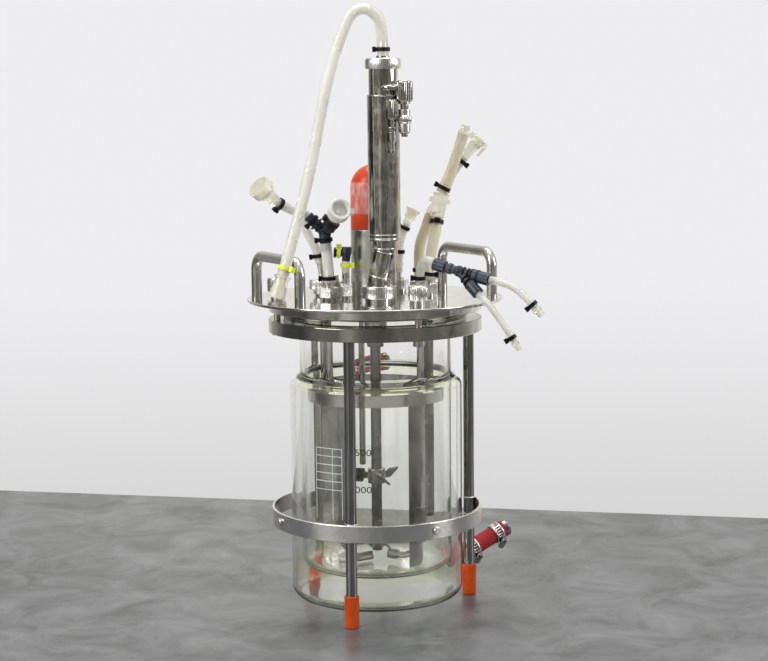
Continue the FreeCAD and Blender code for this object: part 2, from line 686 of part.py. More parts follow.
# Each dip pipe bends towards the shaft, in the upright plane through its port.
sparger = keep(new_body("sparger_pipe"))
bent_rod(sparger, "XZ_Plane", [
    (0, plate_base), (0, size.sparger_height, 10.0), (-1 * (size.port_circle - 6.0), size.sparger_height),
], size.pipe_radius)
doc.recompute()
head_length = 16.0
tip = float(size.port_circle) - 6.5
head_frame = FreeCAD.Placement(Vector(head_length - tip, 0, float(size.sparger_height)),
                               FreeCAD.Rotation(Vector(0, 1, 0), -90))
pad(sparger, circle_sketch(sparger, "XY_Plane", [(0, 0, 4.1)], head_frame), head_length)
slot_frame = FreeCAD.Placement(Vector(-tip, 0, float(size.sparger_height)),
                               FreeCAD.Rotation(Vector(1, 0, 0), 90))
for low in (3.5, 8.0):
    doc.recompute()
    before = sparger.Shape.Volume
    gas_slot = sparger.newObject("PartDesign::Pocket", "gas_slot")
    gas_slot.Profile = outline_sketch(sparger, "XY_Plane",
                                      [(low, 1.2), (low + 1.4, 1.2), (low + 1.4, 6.0), (low, 6.0)],
                                      offset=slot_frame)
    gas_slot.Length = 12.0
    gas_slot.Midplane = True
    doc.recompute()
    if sparger.Shape.Volume > before - 1e-6:
        raise RuntimeError("a gas slot cut nothing")
stand(sparger, *port_at["riser"], azimuth=size.port_riser_azimuth.number)

harvest = keep(new_body("harvest_pipe"))
bent_rod(harvest, "XZ_Plane", [
    (0, plate_base), (0, size.sparger_height + 2.5, 24.0),
    (-1 * (size.port_circle - 20.0), size.sparger_height + 2.5),
], size.pipe_radius, size.pipe_bore)
mouth = FreeCAD.Placement(Vector(-float(size.port_circle) + 21.0, 0, float(size.sparger_height) + 2.5),
                          FreeCAD.Rotation(Vector(0, 1, 0), -90))
flare = circle_sketch(harvest, "XY_Plane", [(0, 0, 4.4), (0, 0, size.pipe_radius - 0.3)], mouth)
pad(harvest, flare, 8.0)
stand(harvest, *port_at["elbow"], azimuth=size.port_elbow_azimuth.number)

sleeve = keep(turned("sensor_sleeve", [
    (0, 0), (size.sleeve_radius, 0, 2.0), (size.sleeve_radius, size.sleeve_length), (0, size.sleeve_length),
]))
stand(sleeve, *port_at["twin_front"], plate_base - size.sleeve_length)
dip_pipe = turned("dip_pipe", [(0, 0), (size.pipe_radius, 0, 1.0), (size.pipe_radius, 150.0), (0, 150.0)])
keep(group("dip_pipes", [stand(copy_of(dip_pipe), *port_at[name], plate_base - 150.0)
                         for name in ("twin_rear", "addition", "spare_a")]))

# ---------------------------------------------------------------------------------------------------------
# Exhaust condenser: union nut on the port, leaning neck, polished cylinder, top nut and coolant connections
# ---------------------------------------------------------------------------------------------------------
seat = size.condenser_boss_height
lean_x, lean_y = around(size.condenser_lean, size.condenser_azimuth)
condenser_x, condenser_y = condenser_port[0] + lean_x, condenser_port[1] + lean_y
condenser = keep(new_body("condenser"))
turn(condenser,
     [(0, seat), (size.condenser_boss - 0.2, seat), (size.condenser_boss - 0.2, seat + 2.0),
      (0, seat + 2.0)])
bent_rod(condenser, "XZ_Plane", [
    (0, seat + 1.0), (0, seat + 10.0, 20.0), (size.condenser_lean, size.condenser_base - 8.0, 20.0),
    (size.condenser_lean, size.condenser_base + 2.0),
], size.condenser_neck)
middle = size.condenser_base + size.condenser_length
for radius, start, length in ((11.6, size.condenser_base - 6.5, 7.0),
                              (size.condenser_radius, size.condenser_base, size.condenser_length),
                              (size.condenser_top_radius, middle, size.condenser_top_length)):
    level = FreeCAD.Placement(Vector(0, 0, float(start)), FreeCAD.Rotation())
    pad(condenser, circle_sketch(condenser, "XY_Plane", [(size.condenser_lean, 0, radius)], level), length)
stand(condenser, *condenser_port, size.plate_top, size.condenser_azimuth.number)

union = keep(turned("condenser_union_nut", [
    (size.condenser_boss + size.bolt_fit, 0), (size.union_radius, 0, 0.8),
    (size.union_radius, size.union_height, 0.8),
    (size.condenser_neck + size.bolt_fit, size.union_height),
    (size.condenser_neck + size.bolt_fit, size.union_height - 2.0),
    (size.condenser_boss + size.bolt_fit, size.union_height - 2.0),
]))
stand(union, *condenser_port, size.plate_top + seat + 4.3 - size.union_height)

condenser_top = size.plate_top + middle + size.condenser_top_length
exhaust_barb = keep(new_body("exhaust_barb"))
turn(exhaust_barb, [
    (0, 0), (size.condenser_top_radius - 0.3, 0), (size.condenser_top_radius - 0.3, 1.5), (6.0, 1.5),
    (6.0, 6.5, 0.6),
    (size.barb_radius - 0.5, 6.5), (size.barb_radius - 0.5, 10.0), (size.barb_radius, 10.5),
    (size.barb_radius - 0.7, 14.0), (size.barb_radius, 14.2), (size.barb_radius - 0.9, 18.0), (0, 18.0),
])
groove(exhaust_barb, [(0, -1.0), (size.barb_bore, -1.0), (size.barb_bore, 19.0), (0, 19.0)])
stand(exhaust_barb, condenser_x, condenser_y, condenser_top)
top_nut = keep(turned("condenser_top_nut", [
    (size.condenser_top_radius + size.bolt_fit, 0), (size.top_nut_radius, 0, 0.8),
    (size.top_nut_radius, size.top_nut_height, 1.2), (6.3, size.top_nut_height),
    (6.3, size.top_nut_height - 2.6),
    (size.condenser_top_radius + size.bolt_fit, size.top_nut_height - 2.6),
]))
stand(top_nut, condenser_x, condenser_y, condenser_top + 1.9 - size.top_nut_height + 2.6)

outlet_at = [centre + step for centre, step in zip((condenser_x, condenser_y),
                                                   around(size.outlet_offset, size.outlet_azimuth))]
outlet = keep(new_body("coolant_outlet"))
turn(outlet, [
    (0, -42.0), (size.outlet_stem - 0.8, -42.0), (size.outlet_stem - 0.8, -39.5), (size.outlet_stem, -39.5),
    (size.outlet_stem, -14.0), (5.2, -14.0), (5.2, -12.0), (size.outlet_body, -12.0, 0.8),
    (size.outlet_body, 6.0, 1.2), (0, 6.0),
])
# The arm leaves the knurled body, turns in front of the condenser and meets its wall there.
wall_at = size.outlet_offset - 7.7
bent_rod(outlet, "XY_Plane", [(0, 0), (wall_at - 3.8, 16.4, 3.4), (wall_at, 10.35)], as_size(2.8))
stand(outlet, *outlet_at, size.plate_top + size.outlet_height + 12.0, size.outlet_azimuth.number + 180.0)
outlet_sleeve = keep(turned("outlet_sleeve", [
    (size.outlet_stem + size.running_gap, 0), (5.3, 0, 0.8), (5.3, 8.0), (6.1, 9.0), (6.1, 14.0),
    (5.3, 15.0),
    (5.3, 20.0, 0.6), (size.outlet_stem + size.running_gap, 20.0),
]))
stand(outlet_sleeve, *outlet_at, size.plate_top + size.outlet_height - 30.0 + 3.5)

inlet_at = [centre + step for centre, step in zip((condenser_x, condenser_y),
                                                  around(size.inlet_offset, size.inlet_azimuth))]
inlet = keep(new_body("coolant_inlet"))
turn(inlet, [
    (0, 0), (1.9, 0), (2.4, 2.5), (1.9, 2.7), (1.9, 9.5), (3.3, 9.5, 0.5), (3.3, 18.5, 0.5), (2.2, 18.5),
    (2.2, 19.5), (3.9, 19.5, 0.5), (3.9, 22.5, 0.5), (1.9, 22.5), (1.9, 29.0), (size.inlet_body, 29.0, 0.6),
    (size.inlet_body, 46.0, 0.8), (0, 46.0),
])
stub = FreeCAD.Placement(Vector(0, 0, 38.0), FreeCAD.Rotation(Vector(0, 1, 0), 90))
pad(inlet, circle_sketch(inlet, "XY_Plane", [(0, 0, 2.6)], stub),
    size.inlet_offset - size.condenser_radius - size.seat_fit)
stand(inlet, *inlet_at, size.plate_top + size.inlet_height - 30.0, size.inlet_azimuth.number + 180.0)

# ---------------------------------------------------------------------------------------------------------
# Port fittings on the head plate: nuts over the bosses, stems clamped under them
# ---------------------------------------------------------------------------------------------------------
boss_top = size.plate_top + size.boss_height
flange_lip = 2.3


def hexagon(flat):
    """Corners of a hexagon with this distance from its centre to a flat."""
    reach = flat / math.cos(math.radians(30))
    return [(reach * math.cos(math.radians(60 * corner)), reach * math.sin(math.radians(60 * corner)))
            for corner in range(6)]


port_nut = new_body("port_nut")
pad(port_nut, outline_sketch(port_nut, "XY_Plane", hexagon(size.port_nut_flat + 0.5)), size.port_nut_height)
cavity = size.port_nut_height - 2.7
groove(port_nut,
       [(0, -1.0), (size.boss_radius + size.boss_fit, -1.0), (size.boss_radius + size.boss_fit, cavity),
                  (size.barb_radius + size.barb_fit, cavity),
                  (size.barb_radius + size.barb_fit, size.port_nut_height + 1.0),
                  (0, size.port_nut_height + 1.0)])
wide_nut = turned("wide_nut", [
    (size.boss_radius + size.boss_fit, 0), (8.2, 0), (8.2, 3.8), (size.wide_nut_radius, 3.8, 0.9),
    (size.wide_nut_radius, size.wide_nut_height, 0.9),
    (size.barb_radius + size.barb_fit, size.wide_nut_height),
    (size.barb_radius + size.barb_fit, size.port_nut_height - 2.7),
    (size.boss_radius + size.boss_fit, size.port_nut_height - 2.7),
])
small_nut = new_body("small_nut")
pad(small_nut, outline_sketch(small_nut, "XY_Plane", hexagon(size.small_nut_flat)), size.small_nut_height)
groove(small_nut,
       [(0, -1.0), (2.8, -1.0), (2.8, size.small_nut_height + 1.0), (0, size.small_nut_height + 1.0)])
nut_base = boss_top + flange_lip - cavity
nuts = [stand(copy_of(port_nut), *port_at[name], nut_base, azimuth)
        for name,
        azimuth in (("riser", 10), ("elbow", 25), ("twin_front", 0), ("twin_rear", 40), ("rear", 15),
                              ("spare_a", 5), ("spare_b", 33))]
nuts.append(stand(copy_of(wide_nut), *port_at["addition"], nut_base))
nuts.append(stand(copy_of(small_nut), *small_port, size.plate_top + 3.1, 12))
keep(group("port_nuts", nuts))


def stem(name, reach, radius, teeth):
    """Flange on the boss, straight stem through the nut and, above it, a barbed or plain end."""
    outline = [(0, 0), (size.port_flange, 0), (size.port_flange, 2.0), (size.barb_radius, 2.0),
               (size.barb_radius, 7.5)]
    if teeth:
        outline += [(size.barb_radius + 1.6, 7.5), (size.barb_radius + 1.6, 9.5), (radius - 0.5, 9.5),
                    (radius - 0.5, reach - 8.2), (radius, reach - 8.0), (radius - 0.6, reach - 4.2),
                    (radius, reach - 4.0), (radius - 0.8, reach), (0, reach)]
    else:
        outline += [(radius, 7.5), (radius, reach, 0.5), (0, reach)]
    body = turned(name, outline)
    if teeth:
        groove(body, [(0, -1.0), (size.barb_bore, -1.0), (size.barb_bore, reach + 1.0), (0, reach + 1.0)])
    return body


barb_stem = stem("barb_stem", 21.0, size.barb_radius, True)
slim_barb_stem = stem("slim_barb_stem", 19.0, size.barb_radius - 0.9, True)
plug_stem = stem("plug_stem", 11.0, size.barb_radius - 0.3, False)
thin_stem = stem("thin_stem", 30.0, as_size(2.2), False)
small_stem = turned("small_stem",
                    [(0, 0), (2.7, 0), (2.7, 10.9), (3.4, 10.9), (3.4, 21.0, 0.5), (2.2, 21.0),
                                   (2.2, 28.0), (0, 28.0)])
addition_pipe = turned("addition_pipe", [
    (0, 0), (size.port_flange, 0), (size.port_flange, 2.0), (size.barb_radius - 0.4, 2.0),
    (size.barb_radius - 0.4, 9.0), (0, 9.0),
])
bent_rod(addition_pipe, "XZ_Plane", [(0, 8.0), (0, 11.0, 8.0), (3.2, 31.0)], 2.6)
stems = [stand(copy_of(barb_stem), *port_at[name], boss_top) for name in ("riser", "twin_front",
                                                                          "twin_rear")]
stems.append(stand(copy_of(slim_barb_stem), *port_at["elbow"], boss_top))
stems.append(stand(copy_of(thin_stem), *port_at["rear"], boss_top))
stems += [stand(copy_of(plug_stem), *port_at[name], boss_top) for name in ("spare_a", "spare_b")]
stems.append(stand(copy_of(small_stem), *small_port, size.plate_top + 3.05))
stems.append(stand(copy_of(addition_pipe), *port_at["addition"], boss_top, 152.0))
keep(group("port_stems", stems))

# ---------------------------------------------------------------------------------------------------------
# Silicone hoses. Each route is set by hand, in the row frame at nominal size, and is carried along with the
# port or fitting that it starts from. It is straight runs joined by tangent arcs.
# ---------------------------------------------------------------------------------------------------------
ROUTES = {
    "exhaust": [(-13.4, -44.9, 495.5), (-13.4, -44.9, 512.5), (-16.0, -44.4, 527.6), (-26.8, -40.4, 537.0),
                (-39.1, -36.4, 532.8), (-47.0, -34.4, 515.0), (-55.0, -33.6, 494.5), (-62.4, -34.2, 471.5),
                (-69.1, -35.2, 446.2), (-75.8, -37.0, 419.1), (-83.8, -39.3, 391.2), (-93.3, -42.0, 363.8),
                (-103.1, -44.4, 336.5), (-112.2, -45.9, 310.3)],
    "addition": [(-40.5, 29.5, 312.0), (-42.3, 30.5, 324.0), (-48.0, 34.6, 335.5), (-52.1, 36.8, 346.5),
                 (-53.5, 37.5, 356.5)],
    "twin_front": [(42.4, -22.5, 297.5), (43.9, -23.6, 312.0), (47.2, -22.9, 328.5), (51.5, -21.7, 341.0),
                   (53.9, -19.9, 352.5)],
    "twin_rear": [(47.9, 2.3, 297.5), (46.9, 2.0, 311.5), (46.6, -0.3, 327.5), (50.5, -4.6, 341.0),
                  (53.2, -8.5, 354.0)],
    "tall": [(57.2, -21.3, 374.1), (62.2, -23.8, 384.8), (66.9, -25.4, 397.3), (71.3, -27.7, 411.5),
             (75.7, -30.1, 426.7)],
    "sample_long": [(60.8, -98.0, 301.6), (69.5, -104.9, 299.8), (77.8, -111.6, 295.3),
                    (85.6, -118.0, 287.2),
                    (92.9, -124.1, 276.2)],
    "sample_short": [(50.8, -96.1, 290.0), (54.2, -105.6, 283.3), (60.7, -110.4, 272.0),
                     (67.7, -116.4, 259.1),
                     (73.0, -120.9, 247.9)],
    "riser": [(-47.8, -3.9, 297.5), (-48.2, -3.7, 315.7), (-50.2, -2.8, 332.6)],
    "branch": [(-63.5, 4.3, 356.6), (-74.0, 6.2, 360.6), (-84.0, 7.0, 364.6), (-93.3, 6.2, 370.2)],
    "small": [(-32.0, -5.6, 306.1), (-31.7, -5.8, 316.0)],
    "rear": [(39.8, 26.8, 300.0), (40.2, 26.8, 317.0), (41.8, 26.5, 331.5), (46.6, 24.2, 344.5)],
    "side": [(66.1, -14.2, 374.1), (69.4, -15.3, 385.5), (75.4, -16.8, 396.0), (82.0, -19.9, 405.5)],
    "elbow": [(22.9, -42.2, 297.5), (22.8, -42.7, 308.6), (24.1, -46.2, 315.8), (27.5, -52.0, 317.5),
              (29.8, -56.6, 313.7)],
    "upper_coolant": [(20.6, 76.8, 189.3), (25.9, 96.6, 200.5), (40.0, 95.0, 206.0), (56.0, 89.0, 208.0)],
}


def carried(name, start, end=None):
    """A route moved to start at its port and, where two ports share a fitting, to end at that fitting."""
    points = [Vector(*point) for point in ROUTES[name]]
    first = Vector(*[float(value) for value in start]) - points[0]
    last = first if end is None else Vector(*[float(value) for value in end]) - points[-1]
    steps = len(points) - 1
    return [point + first + (last - first) * (step / steps) for step, point in enumerate(points)]


def hose_line(points):
    """
    Straight runs joined by tangent arcs, as one wire. An arc's radius is 0.45 of its shorter run divided by
    the tangent of half the turn.
    """
    edges, radii, leave = [], [], points[0]
    for before, here, after in zip(points, points[1:], points[2:]):
        back, ahead = before - here, after - here
        reach = 0.45 * min(back.Length, ahead.Length)
        half_turn = (math.pi - back.getAngle(ahead)) / 2
        radius = reach / math.tan(half_turn)
        back, ahead = back.normalize(), ahead.normalize()
        start, end = here + back * reach, here + ahead * reach
        inward = (back + ahead).normalize()
        crown = here + inward * (radius / math.cos(half_turn) - radius)
        edges += [Part.LineSegment(leave, start).toShape(), Part.Arc(start, crown, end).toShape()]
        radii.append(round(radius, 1))
        leave = end
    edges.append(Part.LineSegment(leave, points[-1]).toShape())
    return Part.Wire(edges), radii


def hose(name, points, radius):
    """A round hose swept along its line; its volume is compared with its section times its length."""
    line, radii = hose_line(points)
    radius = float(radius)
    section = Part.Wire([Part.Circle(points[0], points[1] - points[0], radius).toShape()])
    swept = line.makePipeShell([section], True, False)
    expected = math.pi * radius ** 2 * line.Length
    print(name, "length", round(line.Length, 1), "bend radii", radii, "volume",
          round(swept.Volume / expected, 4))
    if abs(swept.Volume / expected - 1) > 0.01:
        raise RuntimeError(f"{name}: the swept volume is off")
    body = doc.addObject("Part::Feature", name)
    body.Label = name
    body.Shape = swept
    return body


def place_on(points, distance):
    """Point and direction on a hose, this far along it; a negative distance counts from its end."""
    line = hose_line(points)[0]
    rest = distance if distance >= 0 else line.Length + distance
    for edge in line.Edges:
        if rest <= edge.Length:
            parameter = edge.getParameterByLength(rest)
            return edge.valueAt(parameter), edge.tangentAt(parameter)
        rest -= edge.Length
    raise RuntimeError("the distance is past the hose's end")


def face_along(item, point, heading, towards):
    """Stand an object at a point with its Z along heading and its X as near as can be to towards."""
    heading, towards = Vector(*heading), Vector(*towards)
    side = heading.cross(towards)
    item.Placement = FreeCAD.Placement(Vector(*point),
                                       FreeCAD.Rotation(side.cross(heading), side, heading, "ZXY"))
    return item


def rod(start, end, radius, end_radius=None):
    """A straight round bar, or a cone, from one point to another."""
    kind = "Part::Cylinder" if end_radius is None else "Part::Cone"
    bar = doc.addObject(kind, "bar")
    bar.Height = (Vector(*end) - Vector(*start)).Length
    for field, value in ((("Radius", radius),) if end_radius is None else (("Radius1", radius),
                                                                           ("Radius2", end_radius))):
        setattr(bar, field, float(value))
        bar.setExpression(field, as_size(value).text)
    return aim(bar, start, end)


def ball(centre, radius):
    sphere = doc.addObject("Part::Sphere", "ball")
    sphere.Radius = float(radius)
    sphere.Placement.Base = Vector(*centre)
    return sphere


def fused(name, shapes):
    """The pieces joined one after another into one solid."""
    whole = shapes[0]
    for shape in shapes[1:]:
        joint = doc.addObject("Part::Fuse", "joined")
        joint.Base = whole
        joint.Tool = shape
        whole = joint
    whole.Label = name
    return whole


barb_reach = boss_top + 9.5
exhaust_start = (condenser_x, condenser_y, condenser_top + 6.5)
exhaust_line = carried("exhaust", exhaust_start)
keep(hose("exhaust_hose", exhaust_line, size.hose_radius))

# Exhaust coupling: flange, barb inside the hose, socket at the free end
coupling_bore = as_size(2.8)
coupling = keep(turned("exhaust_coupling", [
    (coupling_bore, -9.0), (3.6, -9.0), (size.barb_radius, -5.0), (3.4, -4.8), (3.4, 0), (7.2, 0, 0.6),
    (7.2, 2.6, 0.6), (6.0, 2.6), (6.0, 9.0), (7.0, 15.0), (7.0, 20.0), (4.8, 20.0), (4.8, 9.5),
    (coupling_bore, 9.5),
]))
aim(coupling, exhaust_line[-1], exhaust_line[-1] + Vector(-6.0, 0.6, -19.2))

# Riser to the left Y: one arm to the branch and its cup, one to the ring coupling
riser_line = carried("riser", (*port_at["riser"], barb_reach))
riser_end = riser_line[-1]
centre = riser_end + Vector(-0.6, 0.4, 9.7)
arm_left, arm_right = riser_end + Vector(-13.3, 7.1, 24.0), riser_end + Vector(4.7, -7.0, 19.6)
branch_line = carried("branch", arm_left)
branch_end = branch_line[-1]
collar_left = along(centre, arm_left, 9.0)
collar_right = along(centre, arm_right, 5.0)
keep(fused("left_y_connector", [
    rod(riser_end, centre, 5.2), rod(along(riser_end, centre, -7.0), riser_end, 3.4), ball(centre, 5.4),
    rod(centre, arm_left, 4.6), rod(collar_left, along(centre, arm_left, 11.0), 6.3),
    rod(arm_left, along(branch_line[0], branch_line[1], 7.0), 2.6),
    rod(centre, arm_right, 5.4), rod(collar_right, along(centre, arm_right, 7.5), 6.6),
]))
cup = keep(turned("cup_coupling", [
    (0, -7.0), (2.6, -7.0), (2.6, 0), (4.9, 0), (4.9, 5.5), (6.0, 9.0), (10.35, 16.5), (10.35, 23.9, 0.8),
    (8.8, 23.9), (8.8, 17.5), (6.0, 12.5), (0, 12.5),
]))
aim(cup, branch_end, branch_end + Vector(-18.6, -3.7, 14.3))

ring_start = arm_right + Vector(-1.1, -6.2, 4.4)
ring_heading = Vector(-3.2, -16.4, 7.9).normalize()
neck_start = ring_start - ring_heading * 8.0
image_right = Vector(0.883, -0.469, 0)
ring_coupling = keep(new_body("ring_coupling"))
turn(ring_coupling, [
    (0, -1.5), (4.2, -1.5), (4.2, 2.0), (8.4, 5.0), (8.4, 8.0), (10.0, 9.0), (10.0, 18.5, 1.0),
    (7.3, 18.5, 0.6),
    (7.3, 10.5), (2.6, 10.5), (2.6, 12.3, 0.8), (0, 12.3),
])
slot = FreeCAD.Placement(Vector(10.5, 0, 13.0), FreeCAD.Rotation(Vector(0, 1, 0), 90))
doc.recompute()
before = ring_coupling.Shape.Volume
latch_slot = ring_coupling.newObject("PartDesign::Pocket", "latch_slot")
latch_slot.Profile = outline_sketch(ring_coupling, "XY_Plane",
                                    [(-2.4, -2.7), (2.4, -2.7), (2.4, 2.7), (-2.4, 2.7)],
                                    offset=slot)
latch_slot.Length = 2.4
doc.recompute()
if ring_coupling.Shape.Volume > before - 1e-6:
    raise RuntimeError("the latch slot cut nothing")
face_along(ring_coupling, ring_start, ring_heading, image_right)
latch = keep(new_body("ring_latch"))
latch_face = FreeCAD.Placement(Vector(9.5, 0, 13.0), FreeCAD.Rotation(Vector(0, 1, 0), 90))
pad(latch,
    outline_sketch(latch, "XY_Plane", [(-2.1, -2.4), (2.1, -2.4), (2.1, 2.4), (-2.1, 2.4)],
                   offset=latch_face),
    3.6)
face_along(latch, ring_start, ring_heading, image_right)

# Addition hose on the leaning pipe, with a stopper at its end
addition_x, addition_y = port_at["addition"]
addition_line = carried("addition", (addition_x - 1.9, addition_y + 1.0, boss_top + 24.0))
keep(hose("addition_tube", addition_line, size.slim_hose_radius))

# Tee on the small port's stem
small_line = carried("small", (*small_port, size.plate_top + 3.05 + 21.0))
small_end = small_line[-1]
tee_centre = small_end + Vector(0.6, -0.4, 7.0)
tee_side = tee_centre + Vector(-8.9, 4.7, 0.6)
keep(fused("tee_fitting", [
    rod(small_end, tee_centre, 3.7), rod(tee_centre, tee_centre + Vector(0.1, -0.1, 5.5), 4.4),
    ball(tee_centre, 4.1), rod(tee_centre, along(tee_centre, tee_side, 10.0), 3.4),
    rod(along(tee_centre, tee_side, 9.3), along(tee_centre, tee_side, 11.5), 4.6),
]))

# Short sleeves that stand on their fittings
rear_line = carried("rear", (*port_at["rear"], boss_top + 12.0))
elbow_line = carried("elbow", (*port_at["elbow"], barb_reach))
front_line = carried("twin_front", (*port_at["twin_front"], barb_reach))
front_end = front_line[-1]
twin_shift = front_end - Vector(*ROUTES["twin_front"][-1])
back_line = carried("twin_rear", (*port_at["twin_rear"], barb_reach),
                    Vector(*ROUTES["twin_rear"][-1]) + twin_shift)
back_end = back_line[-1]
tall_line = carried("tall", Vector(*ROUTES["tall"][0]) + twin_shift)
side_line = carried("side", Vector(*ROUTES["side"][0]) + twin_shift)
sleeves = []
for name, line, radius in (("riser", riser_line, size.hose_radius),
                           ("branch", branch_line, size.slim_hose_radius),
                           ("small", small_line, as_size(3.4)), ("rear", rear_line, as_size(3.3)),
                           ("side", side_line, size.slim_hose_radius),
                           ("elbow", elbow_line, size.slim_hose_radius)):
    if len(line) > 2:
        sleeves.append(hose(name + "_sleeve", line, radius))
    else:
        sleeves.append(rod(line[0], line[-1], radius))
keep(group("silicone_sleeves", sleeves))

# Twin hoses from the two right-hand ports, joined in one coupling
keep(hose("twin_tube_front", front_line, size.hose_radius))
keep(hose("twin_tube_rear", back_line, size.hose_radius))
tall_start, side_start = tall_line[0], side_line[0]
twin_top = tall_start
wide_part = along(front_end, twin_top, 13.0)
keep(fused("twin_coupling", [
    rod(front_end, twin_top, 6.6), rod(along(front_end, front_line[-2], 7.0), front_end, 3.4),
    rod(along(back_end, back_line[-2], 7.0), back_end, 3.4),
    rod(back_end, along(back_end, side_start, 9.0), 5.4),
    rod(along(back_end, side_start, 9.0), side_start, 5.2),
    rod(wide_part, along(front_end, twin_top, 17.5), 9.6),
    rod(twin_top, along(tall_line[0], tall_line[1], 7.0), 3.4),
    rod(side_start, along(side_line[0], side_line[1], 6.0), 2.6),
]))
keep(hose("tall_tube", tall_line, size.hose_radius))

# Elbow to the right Y and its two sampling hoses
elbow_end = elbow_line[-1]
elbow_shift = elbow_end - Vector(*ROUTES["elbow"][-1])
long_line = carried("sample_long", Vector(*ROUTES["sample_long"][0]) + elbow_shift)
short_line = carried("sample_short", Vector(*ROUTES["sample_short"][0]) + elbow_shift)
y_end, y_low = long_line[0], short_line[0]
fork = along(elbow_end, y_end, 24.0)
keep(fused("right_y_connector", [
    rod(elbow_end, along(elbow_end, y_end, 11.0), 5.6),
    rod(along(elbow_end, y_end, 5.0), along(y_end, elbow_end, 5.0), 3.7),
    rod(along(elbow_end, elbow_line[-2], 3.0), along(elbow_end, y_end, 2.0), 2.6),
    rod(along(elbow_end, y_end, 14.0), along(elbow_end, y_end, 17.0), 4.9),
    ball(fork, 5.0), rod(along(y_end, elbow_end, 15.5), y_end, 5.6),
    rod(fork, along(y_low, fork, 5.0), 3.6),
    rod(along(y_low, fork, 12.5), y_low, 5.4),
    rod(along(y_end, elbow_end, 2.0), along(long_line[0], long_line[1], 5.0), 2.0),
    rod(along(y_low, fork, 2.0), along(short_line[0], short_line[1], 5.0), 1.8),
]))
keep(hose("sample_tube_long", long_line, size.sample_long_radius))
keep(hose("sample_tube_short", short_line, size.sample_short_radius))

# Clear end pieces of the sampling hoses and of the tall hose
tips = []
for line, outer, reach in ((long_line, 4.2, 7.5), (short_line, 3.6, 7.5), (tall_line, 5.6, 8.0)):
    end, before_end = line[-1], line[-2]
    tip = turned("tube_tip", [
        (0, -5.0), (outer - 2.4, -5.0), (outer - 2.4, 0), (outer, 0, 0.4), (outer, 2.5, 0.4),
        (outer - 1.0, 2.5),
        (outer - 1.3, reach), (outer - 2.4, reach), (outer - 2.4, 3.0), (0, 3.0),
    ])
    tips.append(aim(tip, end, end + (end - before_end)))
keep(group("tube_tips", tips))

# Small clear couplings: on the rear sleeve, on the side sleeve, and the stopper of the addition hose
rear_end, side_end, addition_end = rear_line[-1], side_line[-1], addition_line[-1]
rear_coupling = turned("rear_coupling", [
    (0, -6.0), (2.2, -6.0), (2.2, 0), (3.9, 0), (3.9, 4.0), (5.2, 6.0), (5.2, 12.0), (6.9, 12.0, 0.4),
    (6.9, 15.0, 0.4), (4.0, 15.0), (4.0, 8.0), (0, 8.0),
])
aim(rear_coupling, rear_end, rear_end + Vector(5.8, -3.2, 12.9))
side_heading = Vector(13.7, -9.3, 18.5)
side_coupling = new_body("side_coupling")
turn(side_coupling, [
    (0, -6.0), (2.6, -6.0), (2.6, 0), (4.4, 0), (4.4, 9.0), (5.2, 12.0), (5.2, 17.5), (9.8, 17.5, 0.6),
    (9.8, 22.5, 0.6), (4.4, 22.5), (4.4, 14.0), (0, 14.0),
])
clip = FreeCAD.Placement(Vector(0, 0, 9.0), FreeCAD.Rotation())
pad(side_coupling,
    outline_sketch(side_coupling, "XY_Plane", [(7.2, -2.5), (9.5, -2.5), (9.5, 2.5), (7.2, 2.5)],
                                  offset=clip), 9.5)
face_along(side_coupling, side_end, side_heading, (0.75, -0.4, -0.55))
stopper = turned("stopper", [(0, -5.0), (2.4, -5.0), (2.4, 0), (4.6, 0, 0.5), (4.6, 7.0, 0.8), (0, 7.0)])
aim(stopper, addition_end, addition_end + (addition_end - addition_line[-2]))
keep(group("small_couplings", [rear_coupling, side_coupling, stopper]))


def tie(name, radius):
    """A cable tie: a thin band round a hose, with its square head outside the band."""
    body = new_body(name)
    inner = radius + size.tie_slack
    turn(body, [(inner, 0), (inner + size.tie_band, 0), (inner + size.tie_band, size.tie_width),
                (inner, size.tie_width)])
    head = FreeCAD.Placement(Vector(0, 0, -0.6), FreeCAD.Rotation())
    reach = inner + size.tie_band - 0.2
    pad(body,
        outline_sketch(body, "XY_Plane",
                       [(reach, -2.6), (reach + 3.0, -2.6), (reach + 3.0, 2.6), (reach, 2.6)],
                             offset=head), size.tie_width + 1.2)
    return body


hose_tie = tie("hose_tie", size.hose_radius)
slim_tie = tie("slim_tie", size.slim_hose_radius)
small_tie = tie("small_tie", as_size(3.4))
thin_tie = tie("thin_tie", size.sample_short_radius)
riser_arm_tie = tie("riser_arm_tie", as_size(5.2))
left_arm_tie = tie("left_arm_tie", as_size(4.6))
right_arm_tie = tie("right_arm_tie", as_size(5.4))
image_left, towards_front = Vector(-0.883, 0.469, 0), Vector(-0.469, -0.883, 0)


def tied(band, line, distance, towards):
    point, heading = place_on(line, distance)
    return face_along(copy_of(band), point, heading, towards)


